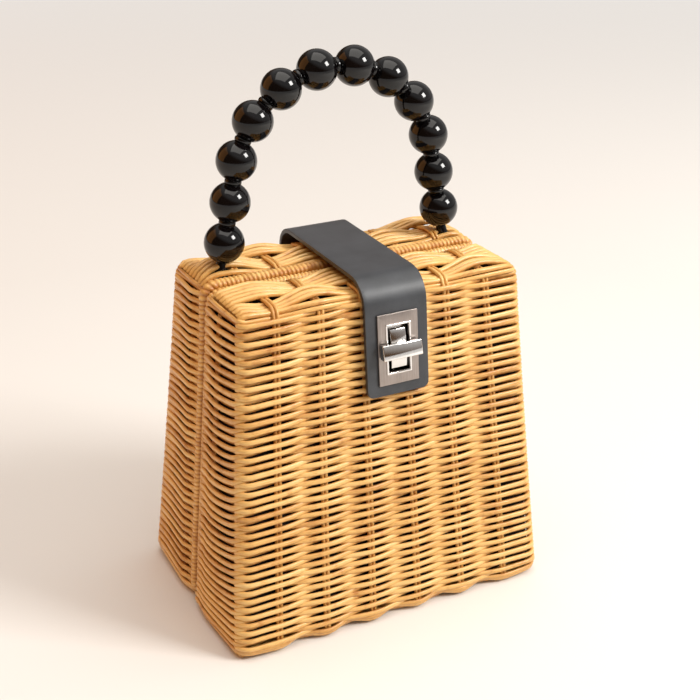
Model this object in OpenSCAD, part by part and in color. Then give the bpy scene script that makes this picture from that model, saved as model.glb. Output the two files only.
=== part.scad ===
// Woven cane box bag: two tapered half baskets that close like a clam, a beaded arch handle on the
// back half, and a leather strap that comes over the top to a turn lock on the front half.
// Millimetres, +Z up, X along the front, the front at -Y, the seam between the halves at y = 0.

/* [Basket] */
// Height of the basket
bag_h = 178; // [160:1:200]
// Width at the base
base_w = 183; // [172:1:200]
// Width at the top
top_w = 155; // [150:1:166]
// Depth of both halves together at the base
base_d = 123; // [114:1:132]
// Depth of both halves together at the top
top_d = 84; // [81:1:92]
// Radius of the upright corners
corner_r = 7.5; // [6.5:0.5:10]
// Radius of the edges round the top
top_r = 7; // [6.5:0.5:8.5]
// Radius of the edges round the base
base_r = 5.5; // [5:0.5:7]
// Thickness of the woven wall
wall = 5; // [4:0.25:6]
// Height of one ridge, which is two rows of cane
row_pitch = 4.34; // [4:0.1:5]
// Depth of the groove between two ridges
ridge_depth = 0.9; // [0.4:0.1:1.2]
// Diameter of the ridges that lie along the top
top_cane_d = 3.2; // [2.4:0.1:3.6]

/* [Gaps in the front and back walls] */
// Upright stakes across each wall
stakes = 6; // [4:1:6]
// Share of a bay that is left beyond the outer stakes
corner_share = 0.91; // [0.8:0.01:1]
// Distance of the side walls' stake from the seam
side_stake = 16; // [14:0.5:18]
// Depth of the hollow between two stakes
bay_depth = 1.6; // [0.8:0.1:1.8]
// Length of a gap across its stake
gap_l = 14; // [10:0.5:18]
// Height of a gap at its stake
gap_h = 1.7; // [1.2:0.1:2.2]

/* [Lining] */
// Thickness of the cloth lining
lining_t = 0.5; // [0.4:0.1:0.8]
// Distance of the lining's hem below the basket's top
lining_drop = 14; // [12:1:20]
// Distance of the lining's hem behind the mouth
lining_hem = 2.4; // [2.2:0.1:4]

/* [Rims] */
// Gap between the two rims at the seam
seam_gap = 0.6; // [0.4:0.1:1]
// Diameter of the cane hoop in each rim
hoop_d = 3.4; // [3:0.1:3.8]
// Diameter over the cane that binds the hoop
rim_d = 5.2; // [4.8:0.1:5.6]
// Distance from the basket's outside to the middle of the rim
rim_inset = 3.4; // [3:0.1:4]
// Height of the middle of the bottom rims, about which the front half turns
hinge_z = 4.6; // [4.4:0.1:6]
// Clearance between the rim and the edge of the weave
rim_fit = 0.3; // [0.2:0.05:0.5]

/* [Hinge ties] */
// Distance between the two ties
tie_span = 96; // [70:1:120]
// Width of a tie along the rims
tie_w = 7; // [5:0.5:10]
// Thickness of a tie
tie_t = 0.9; // [0.6:0.1:1.1]
// Clearance between a tie and the rims
tie_fit = 0.3; // [0.2:0.05:0.4]

/* [Handle] */
// Diameter of a bead
bead_d = 20; // [18:0.5:20]
// Distance from bead to bead along the handle
bead_pitch = 20.4; // [20.4:0.1:21]
// Radius of the arch through the middles of the beads
arch_r = 55; // [53:0.5:58]
// Height of the arch's centre above the basket's top
arch_rise = 40.6; // [38:0.2:44]
// Distance from the middle of the bag to each foot
foot_x = 63.5; // [61:0.5:65]
// Distance of the handle behind the seam
handle_y = 12; // [11:0.5:14]
// Diameter of the steel core
core_d = 3.2; // [2.8:0.1:3.4]
// Diameter of the spacers between the beads
spacer_d = 8.4; // [7:0.2:9]
// Diameter of a foot where it meets the weave
ferrule_d = 7; // [6:0.2:8]
// Diameter of the washers under the top
handle_washer_d = 12; // [10:0.5:12.5]
// Thickness of those washers
handle_washer_t = 1.2; // [0.8:0.1:1.6]
// Width across the flats of the nuts
nut_w = 7; // [6:0.5:8]
// Height of the nuts
nut_h = 3; // [2.5:0.25:4]

/* [Strap] */
// Width of the strap
strap_w = 34; // [30:0.5:36]
// Thickness of the leather
strap_t = 2.2; // [1.8:0.1:2.4]
// Distance of the strap and lock from the middle of the bag
strap_x = 2.8; // [0:0.2:6]
// Clearance under the strap on the walls
strap_clear = 1.2; // [1.2:0.1:1.6]
// Inner radius of the bend at the front
front_bend_r = 12.8; // [12.8:0.1:14]
// Height at which the front bend starts below the basket's top
front_bend_drop = 8; // [7:0.5:8.5]
// Inner radius of the bend at the back
back_bend_r = 9.8; // [9:0.1:11]
// Height of the back bend's centre below the basket's top
back_bend_drop = 5.5; // [4:0.5:7]
// Distance of the back bend's centre in from the back of the top
back_bend_in = 4.2; // [3:0.2:5]
// Distance of the strap's front end below the basket's top
strap_front_drop = 52.5; // [51.5:0.5:54.5]
// Distance of the strap's back end below the basket's top
strap_back_drop = 66; // [62:1:70]
// Distance below the top from which the strap lies on the back wall
strap_touch_drop = 34; // [32:0.5:35]
// Radius of the corners at the strap's ends
strap_corner_r = 4; // [2:0.5:6]
// Diameter of the rivet heads at the back
rivet_d = 8; // [7:0.5:10]
// Diameter of the rivets' shanks
rivet_shank_d = 3; // [2.5:0.1:3.5]
// Distance between the two rivets
rivet_gap = 14; // [12:0.5:15]

/* [Turn lock] */
// Distance of the lock's middle below the basket's top
lock_drop = 29.2; // [29.2:0.2:31]
// Width of the slotted plate
plate_w = 22; // [21:0.5:24]
// Height of the slotted plate
plate_h = 36; // [35:0.5:37]
// Thickness of the slotted plate
plate_t = 1.1; // [0.9:0.1:1.3]
// Width of the slot
slot_w = 11.8; // [11.2:0.2:12.4]
// Height of the slot
slot_h = 23.6; // [23:0.2:24.4]
// Height of the lip round the slot
lip_h = 0.6; // [0.4:0.1:0.8]
// Width of the lip round the slot
lip_w = 1; // [0.8:0.1:1.3]
// Width of the boss that stands in the slot
boss_w = 8.6; // [8:0.2:9]
// Height of the boss that stands in the slot
boss_h = 19.6; // [19:0.2:20.4]
// Width of the base on the front wall
lock_base_w = 17; // [16:0.5:18]
// Height of the base on the front wall
lock_base_h = 27; // [26:0.5:28]
// Thickness of the base and of the plate inside the wall
lock_sheet_t = 0.8; // [0.6:0.1:0.8]
// Diameter of the posts that hold the base to the plate inside
lock_post_d = 2; // [1.6:0.1:2.4]
// Diameter of the prongs that hold the slotted plate to the strap
prong_d = 1.6; // [1.2:0.1:2]
// Length of the turn bar
bar_l = 21.4; // [20.6:0.2:22.2]
// Width of the turn bar
bar_w = 7.4; // [6.8:0.2:8]
// Thickness of the turn bar
bar_t = 4.2; // [3.6:0.1:4.6]
// Diameter of the spindle that the bar turns on
spindle_d = 3; // [2.6:0.1:3.4]
// Radial clearance of the spindle
spindle_fit = 0.05; // [0.03:0.01:0.1]

/* [Hidden] */
$fn = 48;
cane = "#D8A450";
cane_dark = "#B9822F";
bead_black = "#15110F";
leather = "#2E3034";
lining_black = "#121214";
steel = "#B9B7B2";
seat = 0.3;
hole_play = 0.2;
face_gap = 0.1;
lining_gap = 0.1;
sliver = 0.01;
over = 1;
corner_steps = 4;
bend_steps = 12;
bar_chamfer = 0.5;
bar_sides = 10;
hoop_joint = 0.4;
binding_joint = 1;
lean = atan((base_d - top_d) / 2 / bag_h);
rows = round(bag_h / row_pitch);
level_h = bag_h / rows / 2;
mouth_y = seam_gap / 2 + rim_d + rim_fit;
lined = wall + lining_gap + lining_t;
rim_y = (seam_gap + rim_d) / 2;
tie_r = rim_d / 2 + tie_fit;
gap_rows = floor((bag_h - top_r - base_r) / (4 * level_h));
top_cane_pitch = top_cane_d * 0.9;
top_canes = floor((top_d / 2 - top_r - mouth_y) / top_cane_pitch);
spacer_h = 2.8;
ferrule_taper = 2;
bore_d = core_d + bead_d ^ 2 / (4 * arch_r) + hole_play;
bead_count = 12;
bead_names = [for (i = [1 : bead_count]) str("bead_", i < 10 ? "0" : "", i)];
strap_front_z = bag_h - strap_front_drop;
strap_back_z = bag_h - strap_back_drop;
strap_touch_z = bag_h - strap_touch_drop;
lock_z = bag_h - lock_drop;
strap_out = strap_clear + strap_t;
plate_in = strap_out + face_gap;
plate_out = plate_in + plate_t;
lip_out = plate_out + lip_h;
boss_out = lip_out - face_gap;
bar_in = lip_out + seat + face_gap;
spindle_head_d = spindle_d + 2;
spindle_head_t = 1.2;
rivet_edge = 10;
rivet_z = strap_back_z + rivet_edge;
rivet_dome = 1.6;
washer_t = 0.8;
prong_x = plate_w / 2 - 1.9;
prong_z = plate_h / 2 - 2.2;
prong_washer_d = prong_d + 1.6;
prong_washer_t = 0.6;

// Outside of the weave at a height: half the width, and the depth of one half
function half_w(z) = base_w / 2 - (base_w - top_w) / 2 * z / bag_h;
function half_d(z) = base_d / 2 - (base_d - top_d) / 2 * z / bag_h;

// How far the rounded base and top edges draw the outline in at a height
function edge_inset(z) =
    z < base_r ? base_r - sqrt(base_r ^ 2 - (base_r - z) ^ 2)
    : z > bag_h - top_r ? top_r - sqrt(top_r ^ 2 - (z - bag_h + top_r) ^ 2)
    : 0;

// Plan outline of the front half at a height, from its mouth round both corners
function outline(z, inset, mouth) =
    let (w = half_w(z) - inset, d = half_d(z) - inset, r = max(corner_r - inset, 2))
    concat(
        [[w, -mouth]],
        [for (i = [0 : corner_steps]) let (a = -90 * i / corner_steps)
            [w - r + r * cos(a), -(d - r) + r * sin(a)]],
        [for (i = [0 : corner_steps]) let (a = -90 - 90 * i / corner_steps)
            [-(w - r) + r * cos(a), -(d - r) + r * sin(a)]],
        [[-w, -mouth]]);

// Middle of a stake at a height
function stake_x(j, z) = (j - (stakes - 1) / 2) * 2 * half_w(z) / (stakes - 1 + 2 * corner_share);

// Depth of the hollow at a height, which fades out under the top edge
function bay_sink(z) = bay_depth * min(1, max(0, (bag_h - top_r - z) / (2 * row_pitch)));

// The same in the wide walls, where the weave lies flat behind the lock
function mid_bay_sink(x, z) =
    abs(x - strap_x) < lock_base_w && abs(z - lock_z) < lock_base_h / 2 + row_pitch ? 0 : bay_sink(z);

// Plan outline of the front half's weave, which stands out at the stakes
function woven_outline(z, inset) =
    let (w = half_w(z) - inset, d = half_d(z) - inset, r = max(corner_r - inset, 2),
         plain = outline(z, inset, mouth_y), middle = len(plain) / 2,
         hollow_y = -(side_stake + d - r) / 2)
    concat(
        [plain[0], [w, -side_stake], [w - bay_sink(z), hollow_y]],
        [for (i = [1 : middle - 1]) plain[i]],
        [for (i = [0 : 2 * stakes - 2])
            let (j = stakes - 1 - i / 2, x = stake_x(j, z))
            [x, i % 2 == 0 ? -d : mid_bay_sink(x, z) - d]],
        [for (i = [middle : len(plain) - 2]) plain[i]],
        [[bay_sink(z) - w, hollow_y], [-w, -side_stake], plain[len(plain) - 1]]);

// Point and direction of the handle's middle line at a distance from the top of the arch
arch_z = bag_h + arch_rise;
foot_reach = sqrt(foot_x ^ 2 + arch_rise ^ 2);
leg_tilt = acos(arch_r / foot_reach) - atan(arch_rise / foot_x);
leg_l = sqrt(foot_reach ^ 2 - arch_r ^ 2);
arc_l = arch_r * (90 - leg_tilt) * PI / 180;
function handle_turn(s) = min(abs(s), arc_l) / arch_r * 180 / PI * sign(s);
function handle_point(s) =
    let (a = handle_turn(s), past = max(abs(s) - arc_l, 0))
    [arch_r * sin(a) + sign(s) * past * sin(leg_tilt), handle_y,
     arch_z + arch_r * cos(a) - past * cos(leg_tilt)];

// Side view of the strap: its line at a distance from the inner face, as [y, z] points
front_bend_z = bag_h - front_bend_drop;
front_bend = [-half_d(front_bend_z) + (front_bend_r - strap_clear) * cos(lean),
              front_bend_z - (front_bend_r - strap_clear) * sin(lean)];
back_bend = [half_d(bag_h) - back_bend_in, bag_h - back_bend_drop];
function strap_line(off) =
    let (rf = front_bend_r + off, rb = back_bend_r + off,
         run = front_bend[1] - strap_front_z + rivet_edge)
    concat(
        [for (z = [strap_back_z - rivet_edge, strap_touch_z])
            [half_d(z) + (strap_clear + off) / cos(lean), z]],
        [for (i = [0 : bend_steps]) let (a = 90 * i / bend_steps)
            back_bend + rb * [cos(a), sin(a)]],
        [for (i = [0 : bend_steps]) let (a = 90 + (90 - lean) * i / bend_steps)
            front_bend + rf * [cos(a), sin(a)]],
        [front_bend + rf * [-cos(lean), sin(lean)] - run * [sin(lean), cos(lean)]]);

function reversed(list) = [for (i = [len(list) - 1 : -1 : 0]) list[i]];

// Places its children on the front wall, with +Z out of the wall and +Y up it
module on_front(z) {
    translate([strap_x, -half_d(z), z]) rotate([90 - lean, 0, 0]) children();
}

// Places its children on the back wall, with +Z out of the wall
module on_back(z) {
    translate([strap_x, half_d(z), z]) rotate([lean - 90, 0, 0]) children();
}

// A block centred in X and Y, from one height to another
module block(w, h, low, high) {
    translate([-w / 2, -h / 2, low]) cube([w, h, high - low]);
}

// Outer form of the front half: one ridge for each pair of rows, with a hollow between the stakes
module ridged_body() {
    count = 2 * rows;
    levels = [for (k = [0 : count]) let (z = k * level_h)
        [for (p = woven_outline(z, edge_inset(z) + (k % 2 == 0 ? ridge_depth : 0))) [p[0], p[1], z]]];
    n = len(levels[0]);
    polyhedron(
        points = [for (level = levels) each level],
        faces = concat(
            [[for (j = [n - 1 : -1 : 0]) j]],
            [for (k = [0 : count - 1]) for (j = [0 : n - 1]) let (m = (j + 1) % n, a = k * n, b = a + n)
                each [[a + j, b + m, b + j], [a + j, a + m, b + m]]],
            [[for (j = [0 : n - 1]) count * n + j]]));
}

// Form inside the front half at a distance from its outside, from its base up to a height
module inside_form(inset, mouth, high) {
    hull() for (z = [inset, high])
        translate([0, 0, z == inset ? z : z - sliver]) linear_extrude(sliver)
            polygon(outline(z, inset, mouth));
}

// Hollow of the front half, open at the mouth
module hollow() {
    inside_form(wall, mouth_y - over, bag_h - wall);
}

// Cloth inside the front half's walls and base, with its hem below the top and behind the mouth
module half_lining() {
    hem = mouth_y + lining_hem;
    high = bag_h - lining_drop;
    difference() {
        inside_form(wall + lining_gap, hem, high);
        inside_form(lined, hem - over, high + over);
    }
}

// Lens-shaped gaps at the stakes, on every other ridge and offset from stake to stake
module gaps() {
    for (j = [0 : stakes - 1]) for (i = [1 : gap_rows]) {
        z = base_r + (4 * i - 2 * (j % 2) - 1.5) * level_h;
        translate([stake_x(j, z), -half_d(z) - over, z]) rotate([-90, 0, 0])
            linear_extrude(wall + 3 * over)
                polygon([[-gap_l / 2, 0], [0, -gap_h / 2], [gap_l / 2, 0], [0, gap_h / 2]]);
    }
}

// Canes that lie along the top, between the rim and the front edge
module top_ridges() {
    first = mouth_y + top_cane_d / 2;
    length = 2 * (half_w(bag_h) - top_r);
    for (i = [0 : top_canes - 1])
        translate([-length / 2, -first - i * top_cane_pitch, bag_h - top_cane_d / 8])
            rotate([0, 90, 0]) cylinder(d = top_cane_d, h = length, $fn = 8);
}

// Room in the edge of the weave for the ties round the bottom rims
module tie_notches() {
    for (side = [-1, 1])
        translate([side * tie_span / 2, -rim_y, hinge_z]) rotate([0, 90, 0])
            cylinder(r = tie_r + tie_t + 3 * tie_fit, h = tie_w + 2 * over, center = true);
}

// The front half's weave before its fittings, which the back half mirrors
module half_basket() {
    difference() {
        union() {
            ridged_body();
            top_ridges();
        }
        hollow();
        gaps();
        tie_notches();
    }
}

// Surface of a round bar along a line of rings, each [point, tilt about Y], all in one plane
function ring(at, d) =
    [for (i = [0 : bar_sides - 1]) let (a = 360 * i / bar_sides)
        at[0] + d / 2 * [cos(a) * cos(at[1]), sin(a), cos(a) * sin(at[1])]];
function skin(rings, from, flip) =
    [for (k = [0 : rings - 2]) for (i = [0 : bar_sides - 1])
        let (m = (i + 1) % bar_sides, a = from + k * bar_sides, b = a + bar_sides)
        each flip ? [[a + i, b + m, b + i], [a + i, a + m, b + m]]
                  : [[a + i, b + i, b + m], [a + i, b + m, a + m]]];

// A round bar with closed ends
module swept_bar(line, d) {
    rings = len(line);
    last = (rings - 1) * bar_sides;
    polyhedron(
        points = [for (at = line) each ring(at, d)],
        faces = concat(
            skin(rings, 0, false),
            [[for (i = [0 : bar_sides - 1]) i], [for (i = [bar_sides - 1 : -1 : 0]) last + i]]));
}

// A tube with open ends
module swept_tube(line, d_out, d_in) {
    rings = len(line);
    inner = rings * bar_sides;
    last = inner - bar_sides;
    polyhedron(
        points = concat([for (at = line) each ring(at, d_out)], [for (at = line) each ring(at, d_in)]),
        faces = concat(
            skin(rings, 0, false), skin(rings, inner, true),
            [for (i = [0 : bar_sides - 1]) let (m = (i + 1) % bar_sides)
                each [[i, inner + m, inner + i], [i, m, inner + m]]],
            [for (i = [0 : bar_sides - 1]) let (m = (i + 1) % bar_sides)
                each [[last + i, inner + last + i, inner + last + m],
                      [last + i, inner + last + m, last + m]]]));
}

// Line of the rim in the plane y = 0, from the middle of the bottom round to the same place
rim_top_r = top_r - rim_inset + 2;
rim_low_r = base_r - rim_inset + 4;
rim_top_z = bag_h - rim_inset;
rim_low_x = half_w(hinge_z) - rim_inset;
rim_tilt = atan((rim_low_x - half_w(rim_top_z) + rim_inset) / (rim_top_z - hinge_z));
rim_low_c = [rim_low_x - rim_low_r * (1 + sin(rim_tilt)) / cos(rim_tilt), hinge_z + rim_low_r];
rim_top_c = [rim_low_x - (rim_top_r + (rim_top_z - rim_top_r - hinge_z) * sin(rim_tilt)) / cos(rim_tilt),
             rim_top_z - rim_top_r];
function rim_arc(c, r, side, from, to) =
    [for (i = [0 : bend_steps / 2]) let (a = from + (to - from) * i / (bend_steps / 2))
        [[side * (c[0] + r * cos(a)), 0, c[1] + r * sin(a)], side > 0 ? a : 180 - a]];
function rim_line(gap) = concat(
    [[[gap / 2, 0, hinge_z], -90]],
    rim_arc(rim_low_c, rim_low_r, 1, -90, rim_tilt),
    rim_arc(rim_top_c, rim_top_r, 1, rim_tilt, 90),
    rim_arc(rim_top_c, rim_top_r, -1, 90, rim_tilt),
    rim_arc(rim_low_c, rim_low_r, -1, rim_tilt, -90),
    [[[-gap / 2, 0, hinge_z], 270]]);

module back_basket() {
    color(cane) difference() {
        mirror([0, 1, 0]) half_basket();
        for (side = [-1, 1]) handle_leg(side) {
            translate([0, 0, -wall * 2]) cylinder(d = core_d + 2 * seat, h = wall * 3, $fn = 24);
            translate([0, 0, seat / 2]) cylinder(d = ferrule_d + 3, h = wall, $fn = 24);
        }
        rivet_holes();
    }
}

// Room for the rivets through the back wall and its lining
module rivet_holes() {
    for (i = [0, 1]) on_back(rivet_z + i * rivet_gap)
        translate([0, 0, -wall * 2]) cylinder(d = rivet_shank_d + 2 * seat, h = wall * 3, $fn = 24);
}

module back_lining() {
    color(lining_black) difference() {
        mirror([0, 1, 0]) half_lining();
        rivet_holes();
    }
}

module back_hoop() {
    color(cane_dark) translate([0, rim_y, 0]) swept_bar(rim_line(hoop_joint), hoop_d);
}

module back_binding() {
    color(cane) translate([0, rim_y, 0]) swept_tube(rim_line(binding_joint), rim_d, hoop_d + hole_play);
}

// A loop round both bottom rims, so that the front rim turns in it
module hinge_tie(side) {
    color(cane_dark) translate([side * tie_span / 2 - tie_w / 2, 0, hinge_z]) rotate([90, 0, 90])
        linear_extrude(tie_w) difference() {
            stadium(tie_r + tie_t);
            stadium(tie_r);
        }
}

// Two circles on the rims' middles and the straight run between them
module stadium(r) {
    for (side = [-1, 1]) translate([side * rim_y, 0]) circle(r);
    translate([-rim_y, -r]) square([2 * rim_y, 2 * r]);
}

// Places its children at a foot of the handle, with +Z up its leg
module handle_leg(side) {
    translate([side * foot_x, handle_y, bag_h]) rotate([0, -side * leg_tilt, 0]) children();
}

// Places its children on the handle's line, with +Z along it
module on_handle(s) {
    translate(handle_point(s)) rotate([0, 90 + handle_turn(s), 0]) children();
}

washer_top = -(wall + seat * 2 + handle_washer_d / 2 * sin(leg_tilt));
nut_top = washer_top - handle_washer_t - seat / 2;

// The core runs from nut to nut through the legs and the arch
module handle_core() {
    depth = nut_h - nut_top + over;
    leg_end = arc_l + leg_l + depth;
    color(steel) translate([0, handle_y, 0]) swept_bar(
        [for (s = concat([leg_end],
                         [for (i = [2 * bend_steps : -1 : -2 * bend_steps]) arc_l * i / (2 * bend_steps)],
                         [-leg_end]))
            let (p = handle_point(s)) [[p[0], 0, p[2]], 90 - handle_turn(s)]], core_d);
}

function bead_s(i) = (i - (bead_count - 1) / 2) * bead_pitch;

module bead(i) {
    color(bead_black) on_handle(bead_s(i)) difference() {
        sphere(d = bead_d, $fn = 64);
        cylinder(d = bore_d, h = bead_d + over, center = true);
    }
}

// Discs between the beads, hollowed where they seat on them
module bead_spacers() {
    color(bead_black) for (i = [0 : bead_count - 2]) difference() {
        on_handle((bead_s(i) + bead_s(i + 1)) / 2) difference() {
            cylinder(d = spacer_d, h = spacer_h, center = true);
            cylinder(d = bore_d, h = spacer_h + over, center = true);
        }
        for (j = [i, i + 1]) translate(handle_point(bead_s(j))) sphere(d = bead_d + hole_play, $fn = 160);
    }
}

// Tapered foot between the lowest bead and the weave
module handle_ferrule(side) {
    low_bead = arc_l + leg_l - abs(bead_s(0));
    color(bead_black) handle_leg(side) difference() {
        translate([0, 0, seat])
            cylinder(d1 = ferrule_d, d2 = ferrule_d - ferrule_taper, h = low_bead - bead_d / 2 + over);
        translate([0, 0, low_bead]) sphere(d = bead_d + hole_play, $fn = 64);
        cylinder(d = core_d + hole_play, h = low_bead);
    }
}

module handle_washer(side) {
    color(steel) handle_leg(side) translate([0, 0, washer_top - handle_washer_t]) difference() {
        cylinder(d = handle_washer_d, h = handle_washer_t);
        translate([0, 0, -over]) cylinder(d = core_d + hole_play, h = handle_washer_t + 2 * over);
    }
}

module handle_nut(side) {
    color(steel) handle_leg(side) translate([0, 0, nut_top - nut_h]) difference() {
        cylinder(d = nut_w / cos(30), h = nut_h, $fn = 6);
        translate([0, 0, -over]) cylinder(d = core_d + hole_play, h = nut_h + 2 * over);
    }
}

// Room for one end of the strap, with round corners at the end
module strap_end_plan(end_z, low_y) {
    x0 = strap_w / 2 - strap_corner_r;
    translate([strap_x, low_y + base_d, 0]) rotate([90, 0, 0]) linear_extrude(base_d) {
        for (side = [-1, 1]) translate([side * x0, end_z + strap_corner_r]) circle(strap_corner_r);
        translate([-x0, end_z]) square([2 * x0, 2 * strap_corner_r]);
        translate([-strap_w / 2, end_z + strap_corner_r]) square([strap_w, bag_h]);
    }
}

module strap() {
    color(leather) difference() {
        intersection() {
            translate([strap_x - strap_w / 2, 0, 0]) rotate([90, 0, 90]) linear_extrude(strap_w)
                polygon(concat(strap_line(strap_t), reversed(strap_line(0))));
            union() {
                strap_end_plan(strap_front_z, -base_d);
                strap_end_plan(strap_back_z, 0);
            }
        }
        on_front(lock_z) {
            block(lock_base_w + 4 * seat, lock_base_h + 4 * seat, -over, strap_out + over);
            for (x = [-1, 1], y = [-1, 1]) translate([x * prong_x, y * prong_z, 0])
                cylinder(d = prong_d + hole_play, h = strap_out + over);
        }
        for (i = [0, 1]) on_back(rivet_z + i * rivet_gap)
            cylinder(d = rivet_shank_d + hole_play, h = strap_out + wall);
    }
}

// Rivets through the strap's back end and the back wall, with domed heads
module strap_rivets() {
    color(steel) for (i = [0, 1]) on_back(rivet_z + i * rivet_gap) {
        translate([0, 0, -lined - washer_t - 2 * seat])
            cylinder(d = rivet_shank_d, h = lined + washer_t + 3 * seat + strap_out + seat / 2);
        translate([0, 0, strap_out + seat]) intersection() {
            cylinder(d = rivet_d, h = rivet_d);
            translate([0, 0, rivet_dome - rivet_d]) sphere(r = rivet_d, $fn = 64);
        }
    }
}

module rivet_washers() {
    color(steel) for (i = [0, 1]) on_back(rivet_z + i * rivet_gap)
        translate([0, 0, -lined - washer_t - seat]) difference() {
            cylinder(d = rivet_d, h = washer_t);
            translate([0, 0, -over]) cylinder(d = rivet_shank_d + hole_play, h = washer_t + 2 * over);
        }
}

module front_basket() {
    color(cane) difference() {
        half_basket();
        post_holes();
    }
}

// Room for the lock's posts through the front wall and its lining
module post_holes() {
    for (y = [-1, 1]) on_front(lock_z) translate([0, y * lock_post_y(), -wall * 2])
        cylinder(d = lock_post_d + 2 * seat, h = wall * 3, $fn = 24);
}

module front_lining() {
    color(lining_black) difference() {
        half_lining();
        post_holes();
    }
}

module front_hoop() {
    color(cane_dark) translate([0, -rim_y, 0]) swept_bar(rim_line(hoop_joint), hoop_d);
}

module front_binding() {
    color(cane) translate([0, -rim_y, 0]) swept_tube(rim_line(binding_joint), rim_d, hoop_d + hole_play);
}

function lock_post_y() = lock_base_h / 2 - lock_post_d;

// Base on the front wall with the boss that the strap's slot drops over
module lock_base() {
    color(steel) on_front(lock_z) difference() {
        union() {
            block(lock_base_w, lock_base_h, seat, seat + lock_sheet_t);
            block(boss_w, boss_h, seat, boss_out);
            for (y = [-1, 1]) translate([0, y * lock_post_y(), -lined - seat - lock_sheet_t])
                cylinder(d = lock_post_d, h = lined + 2 * seat + lock_sheet_t);
        }
        translate([0, 0, -over]) cylinder(d = spindle_d + 2 * spindle_fit, h = boss_out + 2 * over);
        translate([0, 0, -over])
            cylinder(d = spindle_head_d + 2 * hole_play, h = over + seat + spindle_head_t + 2 * hole_play);
    }
}

module lock_inner_plate() {
    color(steel) on_front(lock_z) difference() {
        block(lock_base_w, lock_base_h, -lined - seat - lock_sheet_t, -lined - seat);
        for (y = [-1, 1]) translate([0, y * lock_post_y(), -wall * 2])
            cylinder(d = lock_post_d + face_gap, h = wall * 2);
    }
}

// Bar, spindle and the head that keeps it in the boss
module turn_bar() {
    high = bar_in + bar_t;
    color(steel) on_front(lock_z) {
        translate([-bar_l / 2, 0, 0]) rotate([90, 0, 90]) linear_extrude(bar_l)
            polygon([[-bar_w / 2, bar_in], [bar_w / 2, bar_in], [bar_w / 2, high - bar_chamfer],
                     [bar_w / 2 - bar_chamfer, high], [bar_chamfer - bar_w / 2, high],
                     [-bar_w / 2, high - bar_chamfer]]);
        translate([0, 0, seat + hole_play]) cylinder(d = spindle_d, h = bar_in);
        translate([0, 0, seat + hole_play]) cylinder(d = spindle_head_d, h = spindle_head_t);
    }
}

// Plate on the strap, with a lipped slot and four prongs through the leather
module slot_plate() {
    color(steel) on_front(lock_z) {
        difference() {
            union() {
                block(plate_w, plate_h, plate_in, plate_out);
                block(slot_w + 2 * lip_w, slot_h + 2 * lip_w, plate_in, lip_out);
            }
            block(slot_w, slot_h, plate_in - over, lip_out + over);
        }
        for (x = [-1, 1], y = [-1, 1])
            translate([x * prong_x, y * prong_z, strap_clear - prong_washer_t + face_gap])
                cylinder(d = prong_d, h = strap_t + 2 * prong_washer_t - 2 * face_gap);
    }
}

// Washers that the prongs are closed over behind the leather
module prong_washers() {
    color(steel) on_front(lock_z) for (x = [-1, 1], y = [-1, 1])
        translate([x * prong_x, y * prong_z, strap_clear - prong_washer_t - face_gap]) difference() {
            cylinder(d = prong_washer_d, h = prong_washer_t);
            translate([0, 0, -over]) cylinder(d = prong_d + face_gap, h = prong_washer_t + 2 * over);
        }
}

back_basket();
back_lining();
back_hoop();
back_binding();
hinge_tie(-1);  // hinge_tie_left
hinge_tie(1);  // hinge_tie_right
handle_core();
bead_spacers();
handle_ferrule(-1);  // handle_ferrule_left
handle_ferrule(1);  // handle_ferrule_right
handle_washer(-1);  // handle_washer_left
handle_washer(1);  // handle_washer_right
handle_nut(-1);  // handle_nut_left
handle_nut(1);  // handle_nut_right
strap();
strap_rivets();
rivet_washers();
front_basket();
front_lining();
front_hoop();
front_binding();
lock_base();
lock_inner_plate();
turn_bar();
slot_plate();
prong_washers();
for (i = [0 : bead_count - 1]) bead(i);
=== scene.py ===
"""Dresses the woven cane box bag: canes, rims, beads, leather and lock, in the frame of the solids."""

import logging
import math
import random
from dataclasses import dataclass, field
from enum import Enum
from itertools import accumulate
from typing import Any, Iterable, Optional, Sequence, Union

import bmesh
import bpy
import numpy as np
from mathutils import Matrix, Vector

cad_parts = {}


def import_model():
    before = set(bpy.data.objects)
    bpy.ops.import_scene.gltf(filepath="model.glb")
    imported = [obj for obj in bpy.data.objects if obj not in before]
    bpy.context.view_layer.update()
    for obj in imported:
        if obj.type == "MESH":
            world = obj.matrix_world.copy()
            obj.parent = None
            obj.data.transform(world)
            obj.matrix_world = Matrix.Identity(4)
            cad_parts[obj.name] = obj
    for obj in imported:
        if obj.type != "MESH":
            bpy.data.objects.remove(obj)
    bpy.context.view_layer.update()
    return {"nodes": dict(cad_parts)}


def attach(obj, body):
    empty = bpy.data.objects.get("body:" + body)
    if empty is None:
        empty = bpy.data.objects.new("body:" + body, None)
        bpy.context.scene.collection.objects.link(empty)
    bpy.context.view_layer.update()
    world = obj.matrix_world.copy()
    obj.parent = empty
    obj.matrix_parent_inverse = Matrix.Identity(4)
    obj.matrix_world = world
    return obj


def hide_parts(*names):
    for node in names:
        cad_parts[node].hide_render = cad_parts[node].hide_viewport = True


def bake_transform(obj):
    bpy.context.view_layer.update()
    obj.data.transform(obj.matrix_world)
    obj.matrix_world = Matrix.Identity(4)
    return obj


LOG = logging.getLogger("box_bag")
MM = 0.001
QUARTER = math.pi / 2.0
NOISE_ROUGHNESS = 0.55
TIP_SHARE = 0.002
TIP_MERGE = 0.008 * MM
SHARP_ANGLE = math.radians(38.0)
SIDES = ((-1.0, "left"), (1.0, "right"))

Colour = tuple[float, float, float]
Triple = tuple[float, float, float]
Pair = tuple[float, float]
Knots = Sequence[tuple[float, float]]
Piece = bpy.types.Object
Material = bpy.types.Material


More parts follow.
